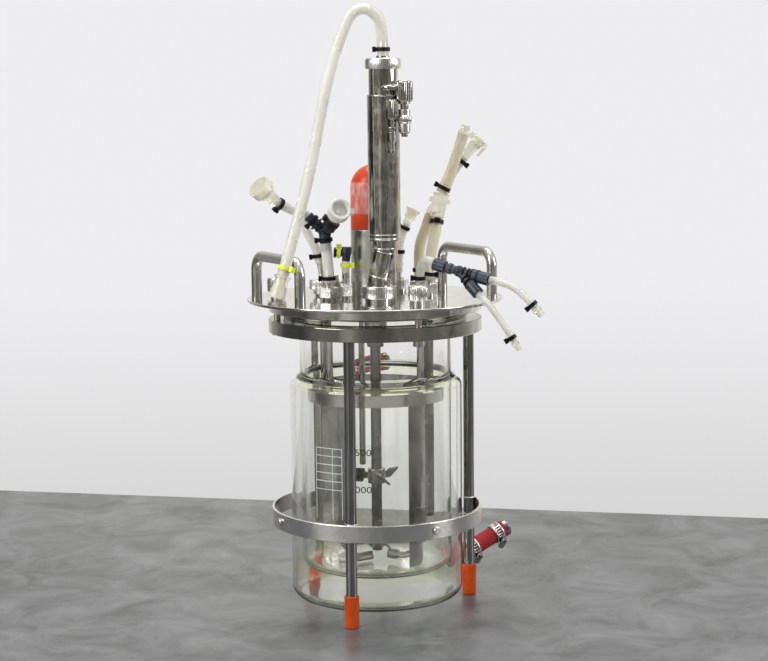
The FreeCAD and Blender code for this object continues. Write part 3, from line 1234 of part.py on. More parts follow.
keep(group("black_ties", [
    tied(hose_tie, riser_line, 2.0, image_left), tied(slim_tie, addition_line, 5.0, image_left),
    tied(slim_tie, branch_line, -6.0, Vector(-0.6, 0.3, -0.7)),
    tied(small_tie, rear_line, -6.0, image_left),
    tied(small_tie, rear_line, 17.0, image_left), tied(hose_tie, front_line, -6.0, towards_front),
    tied(hose_tie, tall_line, 3.4, image_left), tied(slim_tie, side_line, -6.0, image_right),
    tied(slim_tie, elbow_line, 1.5, image_left), tied(hose_tie, front_line, 3.0, image_right),
    tied(hose_tie, back_line, 4.5, image_right), tied(hose_tie, exhaust_line, 3.8, image_left),
    tied(small_tie, long_line, -7.0, image_left), tied(thin_tie, short_line, -7.0, image_left),
    face_along(copy_of(riser_arm_tie), along(riser_end, centre, 1.2), centre - riser_end, image_left),
    face_along(copy_of(left_arm_tie), along(arm_left, centre, 4.2), centre - arm_left, image_left),
    face_along(copy_of(right_arm_tie), along(centre, arm_right, 10.0), arm_right - centre, image_left),
]))
keep(group("yellow_ties", [
    tied(hose_tie, exhaust_line, -8.0, Vector(0.5, -0.85, 0)),
    tied(small_tie, small_line, 4.5, image_right),
    face_along(copy_of(small_tie), along(tee_centre, tee_side, 5.3), tee_side - tee_centre,
               Vector(0, 0, 1)),
]))

# ---------------------------------------------------------------------------------------------------------
# Jacket water hoses on the two glass nipples, with worm clamps and end plugs
# ---------------------------------------------------------------------------------------------------------
climb = math.radians(float(size.lower_nipple_climb))
spread = FreeCAD.Rotation(UP, float(size.lower_nipple_azimuth))
lower_root = spread.multVec(Vector(float(size.jacket_radius) - float(size.jacket_wall) / 2, 0,
                                   float(size.lower_nipple_height)))
lower_heading = spread.multVec(Vector(math.cos(climb), 0, math.sin(climb)))
hose_seat = 4.6
lower_start = lower_root + lower_heading * hose_seat
lower_end = lower_root + lower_heading * float(size.lower_hose_length + hose_seat)
upper_climb = math.radians(float(size.upper_nipple_climb))
upper_spread = FreeCAD.Rotation(UP, float(size.upper_nipple_azimuth))
upper_root = upper_spread.multVec(Vector(float(size.jacket_radius) - float(size.jacket_wall) / 2, 0,
                                         float(size.upper_nipple_height)))
upper_heading = upper_spread.multVec(Vector(math.cos(upper_climb), 0, math.sin(upper_climb)))
upper_line = carried("upper_coolant", upper_root + upper_heading * hose_seat)
keep(group("coolant_hoses", [rod(lower_start, lower_end, size.jacket_hose_radius),
                             hose("upper_hose", upper_line, size.jacket_hose_radius)]))

worm_clamp = new_body("worm_clamp")
band_inner = size.jacket_hose_radius + size.slide_fit
turn(worm_clamp,
     [(band_inner, 0), (band_inner + size.band_sheet, 0), (band_inner + size.band_sheet, size.band_width),
                  (band_inner, size.band_width)])
worm_base = FreeCAD.Placement(Vector(0, 0, 0.5), FreeCAD.Rotation())
reach = band_inner + size.band_sheet - 0.3
pad(worm_clamp,
    outline_sketch(worm_clamp, "XY_Plane",
                   [(reach, -6.0), (reach + 5.0, -6.0, 1.5), (reach + 5.0, 6.0, 1.5),
                                                        (reach, 6.0)], offset=worm_base),
                                                        size.band_width - 1.0)
worm_axis = FreeCAD.Placement(Vector(float(reach) + 2.5, -11.0, float(size.band_width) / 2),
                              FreeCAD.Rotation(Vector(1, 0, 0), -90))
pad(worm_clamp, circle_sketch(worm_clamp, "XY_Plane", [(0, 0, 2.6)], worm_axis), 20.0)
upper_point, upper_along = place_on(upper_line, 8.0)
keep(group("hose_clamps", [
    face_along(copy_of(worm_clamp), lower_start + lower_heading * 18.0, lower_heading,
               Vector(0, -0.55, -0.85)),
    face_along(copy_of(worm_clamp), lower_end - lower_heading * 12.0, lower_heading,
               Vector(0, -0.55, -0.85)),
    face_along(copy_of(worm_clamp), upper_point, upper_along, Vector(-0.3, 0, -1.0)),
]))
plug = turned("hose_plug", [(0, 0), (size.jacket_hose_radius, 0, 0.4), (size.jacket_hose_radius, 4.5, 1.2),
                            (5.0, 4.5), (5.0, 6.5, 0.8), (0, 6.5)])
keep(group("hose_plugs", [aim(copy_of(plug), lower_end, lower_end + lower_heading),
                          aim(copy_of(plug), upper_line[-1], upper_line[-1] * 2 - upper_line[-2])]))

# ---------------------------------------------------------------------------------------------------------
# Checks and files
# ---------------------------------------------------------------------------------------------------------
doc.recompute()
for item in doc.Objects:
    if "Invalid" in item.State or "Error" in item.State:
        raise RuntimeError(f"{item.Name} did not rebuild")
for node in NODES:
    if node.Shape.isNull() or not node.Shape.isValid() or not node.Shape.Solids:
        raise RuntimeError(f"{node.Label} has no sound solid")

os.makedirs("parts", exist_ok=True)
for node in NODES:
    node.Shape.exportStep(f"parts/{node.Label}.step")
print(len(NODES), "nodes")
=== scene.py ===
import math
import bmesh
import bpy
import numpy as np
from mathutils import Matrix, Vector


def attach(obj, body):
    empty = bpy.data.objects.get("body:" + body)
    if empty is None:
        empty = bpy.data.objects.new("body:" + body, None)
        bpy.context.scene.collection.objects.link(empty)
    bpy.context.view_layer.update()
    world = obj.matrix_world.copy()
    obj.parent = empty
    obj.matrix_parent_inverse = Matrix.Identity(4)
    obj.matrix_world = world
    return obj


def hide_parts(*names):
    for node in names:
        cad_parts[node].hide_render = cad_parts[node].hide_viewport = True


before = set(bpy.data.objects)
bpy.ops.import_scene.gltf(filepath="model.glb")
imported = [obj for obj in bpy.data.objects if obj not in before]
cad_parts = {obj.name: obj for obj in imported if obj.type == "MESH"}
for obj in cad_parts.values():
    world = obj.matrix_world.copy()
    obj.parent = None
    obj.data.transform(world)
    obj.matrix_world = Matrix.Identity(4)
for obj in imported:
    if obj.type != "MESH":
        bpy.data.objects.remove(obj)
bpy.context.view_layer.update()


# --- Bench and studio ------------------------------------------------------------------------------------
# A mottled grey bench top whose back edge stands against a white wall. Soft boxes light it from the left,
# the right and above; polished steel also sees the darker room in front of the bench.
def new_material(name):
    """A node material, its tree and its Principled shader."""
    material = bpy.data.materials.new(name)
    material.use_nodes = True
    tree = material.node_tree
    return material, tree, tree.nodes["Principled BSDF"]


def feed(socket, given):
    """Sets an input to a plain value, or links another node's output to it."""
    if isinstance(given, bpy.types.NodeSocket):
        socket.id_data.links.new(given, socket)
    else:
        socket.default_value = given


def node(tree, kind, *given, **settings):
    """
    A shader node. Each setting goes on the node, or feeds the input of that name; what is given without a
    name then feeds the inputs in their order.
    """
    made = tree.nodes.new("ShaderNode" + kind)
    for key, value in settings.items():
        label = key.replace("_", " ")
        if label in made.inputs:
            feed(made.inputs[label], value)
        else:
            setattr(made, key, value)
    for socket, value in zip(made.inputs, given):
        feed(socket, value)
    return made


def colour_ramp(tree, share, *stops):
    """The colour of a ramp at a share; each stop is a place from 0 to 1 and a colour."""
    made = node(tree, "ValToRGB", Fac=share)
    elements = made.color_ramp.elements
    for element, (place, colour) in zip(elements, (stops[0], stops[-1])):
        element.position = place
        element.color = (*colour, 1)
    for place, colour in stops[1:-1]:
        elements.new(place).color = (*colour, 1)
    return made.outputs["Color"]


def mixed(tree, share, first, second, blend_type="MIX"):
    """The colour that a share of the second makes over the first."""
    made = node(tree, "Mix", data_type="RGBA", blend_type=blend_type)
    for place, given in ((0, share), (6, first), (7, second)):
        feed(made.inputs[place], given)
    return made.outputs[2]


def ranged(value, from_min, from_max, to_min=0.0, to_max=1.0, interpolation_type="LINEAR"):
    """A value carried from one range to another and held at its ends."""
    return node(value.id_data, "MapRange", interpolation_type=interpolation_type, Value=value,
                From_Min=from_min, From_Max=from_max, To_Min=to_min, To_Max=to_max).outputs["Result"]


def stretched(way, factors):
    """A vector times a factor along each axis."""
    return node(way.id_data, "VectorMath", way, factors, operation="MULTIPLY").outputs[0]


def put_mesh(name, points, faces, angle=30.0, chart=None):
    """
    A mesh object from corner points and faces. Edges sharper than the angle stay crisp and the rest is
    smooth; a chart gives each face corner its place in a UV map.
    """
    mesh = bpy.data.meshes.new(name)
    faces = faces.tolist() if isinstance(faces, np.ndarray) else faces
    mesh.from_pydata(np.asarray(points, float).reshape(-1, 3).tolist(), [], faces)
    mesh.shade_smooth()
    mesh.set_sharp_from_angle(angle=math.radians(angle))
    if chart is not None:
        mesh.uv_layers.new(name="wall").uv.foreach_set("vector", np.asarray(chart, np.float32).ravel())
    mesh.update()
    made = bpy.data.objects.new(name, mesh)
    bpy.context.scene.collection.objects.link(made)
    return made


bench_top, tree, shader = new_material("bench_top")
mottle = node(tree, "TexNoise", Vector=node(tree, "TexCoord").outputs["Object"], Scale=13.0, Detail=10.0,
              Roughness=0.72, Distortion=0.7)
feed(shader.inputs["Base Color"], colour_ramp(
    tree, mottle.outputs["Fac"], (0.36, (0.045, 0.048, 0.051)), (0.66, (0.172, 0.177, 0.183))))
shader.inputs["Roughness"].default_value = 0.32

back_left, back_right = np.array([-0.1607, 0.6614]), np.array([0.5274, 0.0843])
edge_way = (back_right - back_left) / np.linalg.norm(back_right - back_left)
out_way = np.array([edge_way[1], -edge_way[0]])
bench_reach, bench_depth, bench_level = 6.0, 1.25, -0.0004
outline = [back_left - bench_reach * edge_way, back_right + bench_reach * edge_way]
outline += [outline[1] + bench_depth * out_way, outline[0] + bench_depth * out_way]
bench = put_mesh("bench", [[x, y, bench_level] for x, y in outline], [[3, 2, 1, 0]])
if bench.data.polygons[0].normal.z < 0:
    bench.data.flip_normals()
bench.data.materials.append(bench_top)

world = bpy.data.worlds.new("room")
bpy.context.scene.world = world
world.use_nodes = True
tree = world.node_tree
tree.nodes.clear()
seen_by = node(tree, "LightPath").outputs
room_turn = (0, 0, math.radians(28.0))
room_way = node(tree, "Mapping", Vector=node(tree, "TexCoord").outputs["Generated"],
                Rotation=room_turn).outputs["Vector"]
room_rise = node(tree, "SeparateXYZ", room_way).outputs["Z"]
around = node(tree, "TexGradient", room_way, gradient_type="RADIAL").outputs["Fac"]
room_end = (0.045, 0.044, 0.040)
room_levels = (
    (8, 0.05), (17, 0.14), (27, 0.27), (50, 0.29), (57, 0.50), (65, 0.48), (72, 0.28), (80, 0.17),
    (107, 0.18), (115, 0.33), (122, 0.24), (154, 0.26), (164, 0.17), (174, 0.17), (183, 0.26), (193, 0.40),
    (205, 0.62), (220, 0.80), (238, 0.90), (292, 0.84), (302, 0.58), (320, 0.34), (335, 0.10), (347, 0.035))
room_bands = colour_ramp(
    tree, around, (0.0, room_end),
    *[(degrees / 360.0, (level, level * 0.975, level * 0.90)) for degrees, level in room_levels],
    (1.0, room_end))
uneven = node(tree, "TexNoise", Vector=stretched(room_way, (1, 1, 0.12)), Scale=5.0, Detail=4.0,
              Roughness=0.7)
room = node(tree, "VectorMath", room_bands, operation="SCALE",
            Scale=ranged(uneven.outputs["Fac"], 0.35, 0.65, 0.75, 1.25)).outputs[0]
overhead = ranged(room_rise, 0.35, 0.75, interpolation_type="SMOOTHSTEP")
soft = node(tree, "Background", Color=(0.80, 0.82, 0.85, 1), Strength=0.62)
polished_view = node(tree, "Background", Color=mixed(tree, overhead, room, (0.78, 0.79, 0.80, 1)))
# The wall that the camera and the glass see darkens from its upper colour to a lower one towards the bench:
# painted shade on the backdrop.
wall_painted_shade, wall_high = (0.66, 0.66, 0.665, 1), (0.85, 0.845, 0.86, 1)
wall = node(tree, "Background", Color=mixed(
    tree, ranged(room_rise, -0.25, -0.08, interpolation_type="SMOOTHSTEP"), wall_painted_shade, wall_high),
    Strength=ranged(room_rise, 0.22, 0.6, 1.0, 1.5, "SMOOTHSTEP"))
by_gloss = node(tree, "MixShader", seen_by["Is Glossy Ray"], soft.outputs[0], polished_view.outputs[0])
by_glass = node(tree, "MixShader", seen_by["Is Transmission Ray"], by_gloss.outputs[0], wall.outputs[0])
by_view = node(tree, "MixShader", seen_by["Is Camera Ray"], by_glass.outputs[0], wall.outputs[0])
node(tree, "OutputWorld", Surface=by_view.outputs[0])

towards, across, upright = Vector((-0.4695, -0.8829, 0)), Vector((0.8829, -0.4695, 0)), Vector((0, 0, 1))


def soft_box(name, place, aim, wide, high, power):
    """A rectangular area lamp at a place, facing a point."""
    lamp = bpy.data.lights.new(name, "AREA")
    lamp.shape, lamp.size, lamp.size_y, lamp.energy = "RECTANGLE", wide, high, power
    made = bpy.data.objects.new(name, lamp)
    made.location = place
    made.rotation_euler = (Vector(aim) - Vector(place)).to_track_quat("-Z", "Y").to_euler()
    bpy.context.scene.collection.objects.link(made)


soft_box("box_left", towards * 1.1 - across * 1.5 + upright * 1.3, (0, 0, 0.25), 1.0, 1.4, 32.0)
soft_box("box_right", towards * 0.5 + across * 1.9 + upright * 1.1, (0, 0, 0.25), 0.7, 1.4, 19.0)
soft_box("box_above", -towards * 0.2 + upright * 2.4, (0, 0, 0.2), 1.6, 1.6, 30.0)

pitch, roll = math.radians(7.1), math.radians(0.55)
camera_out, camera_aside, camera_up = 1.655, 0.008, 0.457
ahead = -towards * math.cos(pitch) - upright * math.sin(pitch)
level_up = across.cross(ahead)
right = math.cos(roll) * across - math.sin(roll) * level_up
up = math.sin(roll) * across + math.cos(roll) * level_up
camera = bpy.data.objects.new("camera", bpy.data.cameras.new("camera"))
camera.data.lens, camera.data.sensor_width = 86.48, 36.0
camera.data.clip_start, camera.data.clip_end = 0.05, 30.0
camera.matrix_world = Matrix.Translation(
    towards * camera_out + across * camera_aside + upright * camera_up) @ Matrix(
    (right, up, -ahead)).transposed().to_4x4()
bpy.context.scene.collection.objects.link(camera)
bpy.context.scene.camera = camera
bpy.context.scene.view_settings.view_transform = "Standard"
bpy.context.scene.cycles.max_bounces = bpy.context.scene.cycles.transmission_bounces = 28


# --- Jacketed glass vessel -------------------------------------------------------------------------------
# Borosilicate glass, blown in one piece: inner vessel, water jacket, rounded shoulder, ground flange and two
# hose nipples. The glass is faintly yellow-green, which shows along its edges and thick rims.
def rounded(corners, steps):
    """
    A profile (radius, height) whose corners are arcs. A corner with a third number r is replaced by an arc of
    radius r that touches both of its sides, in so many steps.
    """
    line = []
    count = len(corners)
    for here in range(count):
        corner = np.array(corners[here][:2], float)
        if len(corners[here]) < 3:
            line.append(corner)
            continue
        radius = corners[here][2]
        back = np.array(corners[here - 1][:2], float) - corner
        on = np.array(corners[(here + 1) % count][:2], float) - corner
        back, on = back / np.linalg.norm(back), on / np.linalg.norm(on)
        half = math.acos(np.clip(back @ on, -1, 1)) / 2
        centre = corner + (back + on) / np.linalg.norm(back + on) * radius / math.sin(half)
        first = corner + back * radius / math.tan(half) - centre
        last = corner + on * radius / math.tan(half) - centre
        share = np.linspace(0, 1, steps)[:, None]
        angle = math.acos(np.clip(first @ last / radius ** 2, -1, 1))
        arc = (np.sin((1 - share) * angle) * first + np.sin(share * angle) * last) / math.sin(angle)
        line += list(centre + arc)
    return np.array(line)


def ring_faces(rows, columns, closed=True):
    """
    Faces between rings of points, as a grid of rows by columns: each ring joins up with itself, and the last
    ring with the first where the shape is closed.
    """
    i, j = np.meshgrid(np.arange(rows if closed else rows - 1), np.arange(columns), indexing="ij")
    i2, j2 = (i + 1) % rows, (j + 1) % columns
    return np.stack([i * columns + j, i * columns + j2, i2 * columns + j2, i2 * columns + j], -1)


def lathe(profile, segments, closed=True):
    """
    Points and faces of a turned shape: x = r cos a, y = r sin a, z = z for each profile point (r, z) at even
    angles a. A profile that runs counter-clockwise gives faces that point out of the solid.
    """
    angle = np.linspace(0, 2 * np.pi, segments, endpoint=False)
    radius, height = profile[:, :1], profile[:, 1:2]
    points = np.stack([radius * np.cos(angle), radius * np.sin(angle), height + 0 * angle], -1).reshape(-1, 3)
    return points, ring_faces(len(profile), segments, closed).reshape(-1, 4)


def joined(name, parts, angle=30.0):
    """
    One mesh object from several (points, faces) pairs. Points that meet, as at a pole, are merged, faces
    without area are dropped, and the edges sharper than the angle stay crisp.
    """
    shift, points, faces = 0, [], []
    for part_points, part_faces in parts:
        points.append(part_points)
        faces.append(np.asarray(part_faces) + shift)
        shift += len(part_points)
    made = put_mesh(name, np.concatenate(points), np.concatenate(faces), angle)
    shape = bmesh.new()
    shape.from_mesh(made.data)
    bmesh.ops.remove_doubles(shape, verts=shape.verts, dist=1e-6)
    bmesh.ops.dissolve_degenerate(shape, edges=shape.edges, dist=1e-7)
    shape.to_mesh(made.data)
    shape.free()
    made.data.shade_smooth()
    made.data.set_sharp_from_angle(angle=math.radians(angle))
    return made


MM = 0.001


def framed(points, origin, heading, side):
    """
    Points in millimetres, carried into a frame at an origin and into metres: their z runs along heading,
    their x as near as can be to side.
    """
    heading = np.array(heading, float) / np.linalg.norm(heading)
    cross = np.cross(heading, side)
    cross /= np.linalg.norm(cross)
    return (points @ np.stack([np.cross(cross, heading), cross, heading]) + np.array(origin)) * MM


jacket_radius, jacket_inner, neck_radius, flange_radius, bore_radius = 77.8, 74.8, 68.5, 82.5, 65
arc_steps, vessel_sides = 12, 192
glass_body = lathe(rounded([
    (0, 9), (jacket_radius, 9, 10), (jacket_radius, 206, 9), (neck_radius, 213.5, 5), (neck_radius, 264, 2),
    (flange_radius, 264), (flange_radius, 269, 1), (bore_radius, 269), (bore_radius, 40, 8), (0, 40)],
    arc_steps) * MM, vessel_sides, closed=False)
jacket_space = lathe(rounded([
    (0, 12.5), (jacket_inner, 12.5, 7), (jacket_inner, 204.6, 6), (neck_radius, 209.7, 1.2),
    (neck_radius, 36.5, 11.5), (0, 36.5)], arc_steps)[::-1] * MM, vessel_sides, closed=False)
nipple_points, nipple_faces = lathe(np.array([
    (3.4, 1.6), (6.4, 1.6), (5.3, 5), (5.2, 7.5), (6.0, 8.6), (6.1, 9.4), (5.2, 12.5), (5.2, 15.7), (4.9, 16),
    (3.7, 16), (3.4, 15.7)]), 48)


def nipple_axis(azimuth, height, climb):
    """A nipple's root in millimetres and its direction, from its azimuth, height and climb in degrees."""
    root_radius = 76.3
    a, c = math.radians(azimuth), math.radians(climb)
    out = np.array([math.cos(a), math.sin(a), 0.0])
    return root_radius * out + (0, 0, height), math.cos(c) * out + (0, 0, math.sin(c))


lower_root, lower_way = nipple_axis(0.0, 27.0, 23.0)
upper_root, upper_way = nipple_axis(75.0, 188.0, 20.0)
nipples = [(framed(nipple_points, root, way, (0, 0, 1)), nipple_faces)
           for root, way in ((lower_root, lower_way), (upper_root, upper_way))]
vessel = joined("glass_vessel", [glass_body, jacket_space] + nipples, 40.0)


def touched_surface():
    """
    Group that gives a handled surface its life. Large soft patches vary the roughness between Smooth and
    Rough. Fine grain gives Height and a slow swell gives Waves, both stretched by Stretch; Specks masks
    sparse marks.
    """
    group = bpy.data.node_groups.new("touched_surface", "ShaderNodeTree")
    for label, kind, value in (("Patch", "Float", 14.0), ("Grain", "Float", 900.0), ("Swell", "Float", 70.0),
                               ("Smooth", "Float", 0.1), ("Rough", "Float", 0.3),
                               ("Stretch", "Vector", (1, 1, 1))):
        made = group.interface.new_socket(label, in_out="INPUT", socket_type="NodeSocket" + kind)
        made.default_value = value
    for label in ("Roughness", "Height", "Waves", "Patches", "Specks"):
        group.interface.new_socket(label, in_out="OUTPUT", socket_type="NodeSocketFloat")
    asked, result = group.nodes.new("NodeGroupInput").outputs, group.nodes.new("NodeGroupOutput").inputs
    where = node(group, "TexCoord").outputs["Object"]
    drawn_out = stretched(where, asked["Stretch"])
    patches = node(group, "TexNoise", Vector=where, Scale=asked["Patch"], Detail=4.0, Roughness=0.55,
                   Distortion=0.6)
    grain = node(group, "TexNoise", Vector=drawn_out, Scale=asked["Grain"], Detail=3.0, Roughness=0.6)
    waves = node(group, "TexNoise", Vector=drawn_out, Scale=asked["Swell"], Detail=1.0, Roughness=0.4)
    specks = node(group, "TexNoise", Vector=drawn_out, Scale=160.0, Detail=2.0)
    for label, noise in (("Height", grain), ("Waves", waves), ("Patches", patches)):
        feed(result[label], noise.outputs["Fac"])
    feed(result["Roughness"], ranged(patches.outputs["Fac"], 0.35, 0.65, asked["Smooth"], asked["Rough"]))
    feed(result["Specks"], ranged(specks.outputs["Fac"], 0.64, 0.72))
    return group


touched = touched_surface()


def finish_material(name, tints, smooth, rough, patch=14.0, grain=900.0, swell=70.0, stretch=(1, 1, 1),
                    bump=0.02, bump_depth=0.0002, wave_depth=0.0, specks=None, **constants):
    """
    A Principled material. Its colour runs between two tints with the soft patches, its roughness from smooth
    to rough, and its grain and slow waves feed two bumps; specks is an optional colour for sparse marks.
    """
    material, tree, shader = new_material(name)
    group = tree.nodes.new("ShaderNodeGroup")
    group.node_tree = touched
    for label, value in (("Patch", patch), ("Grain", grain), ("Swell", swell), ("Smooth", smooth),
                         ("Rough", rough), ("Stretch", stretch)):
        group.inputs[label].default_value = value
    colour = colour_ramp(tree, group.outputs["Patches"], (0.35, tints[0]), (0.65, tints[1]))
    if specks:
        colour = mixed(tree, group.outputs["Specks"], colour, (*specks, 1))
    ripple = node(tree, "Bump", Strength=bump, Distance=bump_depth, Height=group.outputs["Height"])
    if wave_depth:
        wave = node(tree, "Bump", Strength=1.0, Distance=wave_depth, Height=group.outputs["Waves"])
        feed(ripple.inputs["Normal"], wave.outputs["Normal"])
    for label, source in (("Base Color", colour), ("Roughness", group.outputs["Roughness"]),
                          ("Normal", ripple.outputs["Normal"])):
        feed(shader.inputs[label], source)
    for key, value in constants.items():
        shader.inputs[key.replace("_", " ")].default_value = value
    return material


def recoloured(material, share, colour, blend_type="MIX"):
    """Lays a colour over a material's base colour, by a share."""
    tree = material.node_tree
    base = tree.nodes["Principled BSDF"].inputs["Base Color"]
    feed(base, mixed(tree, share, base.links[0].from_socket, colour, blend_type))


STAND = "vessel_and_stand"


def dress(made, material, slot, body=STAND, *nodes):
    """The material on a new piece, the body it rides on and the nodes it stands for. The slot is not used."""
    made.data.materials.clear()
    made.data.materials.append(material)
    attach(made, body)
    if nodes:
        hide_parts(*nodes)
    return made


vessel_glass = finish_material(
    "vessel_glass", ((0.985, 0.99, 0.975), (1, 1, 1)), 0.0, 0.03, patch=9.0, grain=26.0, bump=0.08,
    bump_depth=0.0004, Transmission_Weight=1.0, IOR=1.47)
tree = vessel_glass.node_tree
absorbing = node(tree, "VolumeAbsorption", Color=(0.88, 0.94, 0.52, 1), Density=5.0)
feed(tree.nodes["Material Output"].inputs["Volume"], absorbing.outputs[0])
where = node(tree, "TexCoord").outputs["Object"]
top, clear, shoulder_rim, flange_rim = 275, (1, 1, 1), (0.975, 0.985, 0.885), (0.97, 0.98, 0.90)
rim_tints = (
    (0, (0.975, 0.985, 0.87)), (15, (0.97, 0.985, 0.85)), (21, clear), (34, clear), (36, (0.965, 0.98, 0.83)),
    (43, (0.97, 0.985, 0.86)), (50, clear), (199, clear), (205, shoulder_rim), (214, shoulder_rim),
    (219, clear), (261, clear), (264, flange_rim), (top, flange_rim))
tint = colour_ramp(tree, ranged(node(tree, "SeparateXYZ", where).outputs["Z"], 0.0, top * MM),
                   *[(height / top, colour) for height, colour in rim_tints])
reach = node(tree, "VectorMath", stretched(where, (1, 1, 0)), operation="LENGTH").outputs["Value"]
recoloured(vessel_glass, ranged(reach, 0.058, 0.064), tint, "MULTIPLY")
dress(vessel, vessel_glass, "vessel_glass", STAND, "jacketed_vessel")
vessel.visible_shadow = False

# --- Graduations -----------------------------------------------------------------------------------------
# Enamel, printed on the outside of the jacket and fired on: two black volume figures and a white scale, six
# lines across and three upright.
print_radius = (jacket_radius + 0.07) * MM


def on_jacket(azimuth, height):
    """Points on the print's cylinder: x = R cos a, y = R sin a, z = height, with a in radians."""
    return np.stack([print_radius * np.cos(azimuth), print_radius * np.sin(azimuth), height], -1)


def drawn(curve):
    """The points and faces that a text or a curve draws. The curve itself is removed."""
    holder = bpy.data.objects.new("guide", curve)
    mesh = bpy.data.meshes.new_from_object(holder)
    points = np.empty(len(mesh.vertices) * 3)
    mesh.vertices.foreach_get("co", points)
    faces = [list(polygon.vertices) for polygon in mesh.polygons]
    bpy.data.objects.remove(holder)
    bpy.data.curves.remove(curve)
    bpy.data.meshes.remove(mesh)
    return points.reshape(-1, 3), faces


black_enamel = finish_material(
    "black_enamel", ((0.008, 0.008, 0.009), (0.02, 0.02, 0.021)), 0.2, 0.35, bump=0.05)
white_enamel = finish_material("white_enamel", ((0.70, 0.71, 0.72), (0.82, 0.83, 0.84)), 0.25, 0.4, bump=0.05)
figures_azimuth, half_wide, half_high = math.radians(-127.55), 9.03, 2.85
for figures, middle in (("1500", 153.4), ("1000", 120.6)):
    text = bpy.data.curves.new("figures", "FONT")
    text.body, text.resolution_u = figures, 6
    points, shape = drawn(text)
    points -= (points.max(0) + points.min(0)) / 2
    points /= np.maximum(points.max(0), 1e-9)
    azimuth = figures_azimuth + points[:, 0] * half_wide * MM / print_radius
    dress(put_mesh("figures_" + figures, on_jacket(azimuth, (middle + points[:, 1] * half_high) * MM), shape),
          black_enamel, "black_nylon")


def enamel_strip(first, last, low, high, steps=24):
    """A strip of enamel between two azimuths in degrees and two heights in millimetres, on the jacket."""
    azimuth, height = np.meshgrid(np.radians(np.linspace(first, last, steps)), np.array([low, high]) * MM)
    corner = np.arange(steps - 1)
    return on_jacket(azimuth, height).reshape(-1, 3), np.stack(
        [corner, corner + 1, corner + 1 + steps, corner + steps], -1)


scale_start, scale_end, half_line = -160.7, -140.4, 0.28
strips = [enamel_strip(scale_start, scale_end, height - half_line, height + half_line)
          for height in (155.5, 148.6, 141.1, 133.6, 126.3, 118.8)]
strips += [enamel_strip(azimuth, azimuth + 0.35, 92.5, 155.5, 3)
           for azimuth in (scale_start, -147.6, -140.75)]
dress(joined("scale_lines", strips), white_enamel, "white_plastic")


# --- Seal ------------------------------------------------------------------------------------------------
# A flat ring of grey-white silicone, cut from sheet. It lies between the glass flange and the head plate,
# where the clamp presses it thin.
def give(material, *names):
    """The material on CAD nodes whose shape stays as it is."""
    for name in names:
        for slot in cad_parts[name].material_slots:
            slot.material = material


seal_rubber = finish_material("seal_rubber", ((0.60, 0.61, 0.58), (0.70, 0.71, 0.68)), 0.4, 0.6, bump=0.1)
give(seal_rubber, "vessel_seal")

# --- Head plate and clamp --------------------------------------------------------------------------------
# Stainless steel, turned and polished nearly to a mirror. Three knurled nuts pull the plate and the clamp
# ring together round the glass flange; their straight knurls give the fingers a grip.
polished_steel = finish_material(
    "polished_steel", ((0.56, 0.545, 0.52), (0.69, 0.68, 0.66)), 0.05, 0.13, patch=26.0, grain=420.0,
    bump=0.05, wave_depth=0.00006, specks=(0.50, 0.45, 0.37), Metallic=1.0)
satin_steel = finish_material(
    "satin_steel", ((0.52, 0.51, 0.49), (0.64, 0.63, 0.61)), 0.16, 0.28, patch=22.0, grain=260.0,
    stretch=(1, 1, 14), bump=0.08, Metallic=1.0)
bright_steel = finish_material(
    "bright_steel", ((0.70, 0.685, 0.655), (0.84, 0.825, 0.795)), 0.18, 0.32, patch=22.0, grain=260.0,
    stretch=(1, 1, 14), bump=0.08, specks=(0.46, 0.44, 0.40), Metallic=1.0)
ring_steel = finish_material(
    "ring_steel", ((0.34, 0.33, 0.305), (0.47, 0.46, 0.43)), 0.10, 0.22, patch=30.0, grain=300.0,
    stretch=(1, 1, 8), bump=0.12, wave_depth=0.00006, specks=(0.24, 0.23, 0.21), Metallic=1.0)
give(polished_steel, "head_plate")
give(satin_steel, "clamp_bolts", "handle_left", "handle_right")
give(bright_steel, "clamp_nuts", "port_nuts", "port_stems")
give(ring_steel, "clamp_ring")


def knurled(origin, radius, tall, ridges, depth=0.32):
    """
    A straight-knurled band about an upright axis, in millimetres: radius R + d sqrt((1 + cos n a) / 2) at
    angle a, run out to R over the lead at both ends, round a plain inner wall.
    """
    lead, wall = 0.5, 0.8
    angle = np.linspace(0, 2 * np.pi, ridges * 6, endpoint=False)
    ridge = depth * np.sqrt((1 + np.cos(ridges * angle)) / 2)
    outline = np.array([(radius, 0, 0), (radius, lead, 1), (radius, tall - lead, 1), (radius, tall, 0),
                        (radius - wall, tall, 0), (radius - wall, 0, 0)])
    reach = outline[:, :1] + outline[:, 2:] * ridge
    points = np.stack([reach * np.cos(angle), reach * np.sin(angle), outline[:, 1:2] + 0 * reach], -1)
    points = (points.reshape(-1, 3) + np.array(origin)) * MM
    return points, ring_faces(len(outline), len(angle)).reshape(-1, 4)


dress(joined("clamp_nut_knurls", [knurled((x, y, 287.2), 8.32, 10.8, 34)
                                  for x, y in ((79.3, 40.41), (-74.64, 48.47), (-4.66, -88.88))]),
      bright_steel, "satin_steel")
dress(joined("addition_nut_knurl", [knurled((-38.63, 28.48, 289.0), 11.32, 7.5, 44)]), bright_steel,
      "satin_steel")
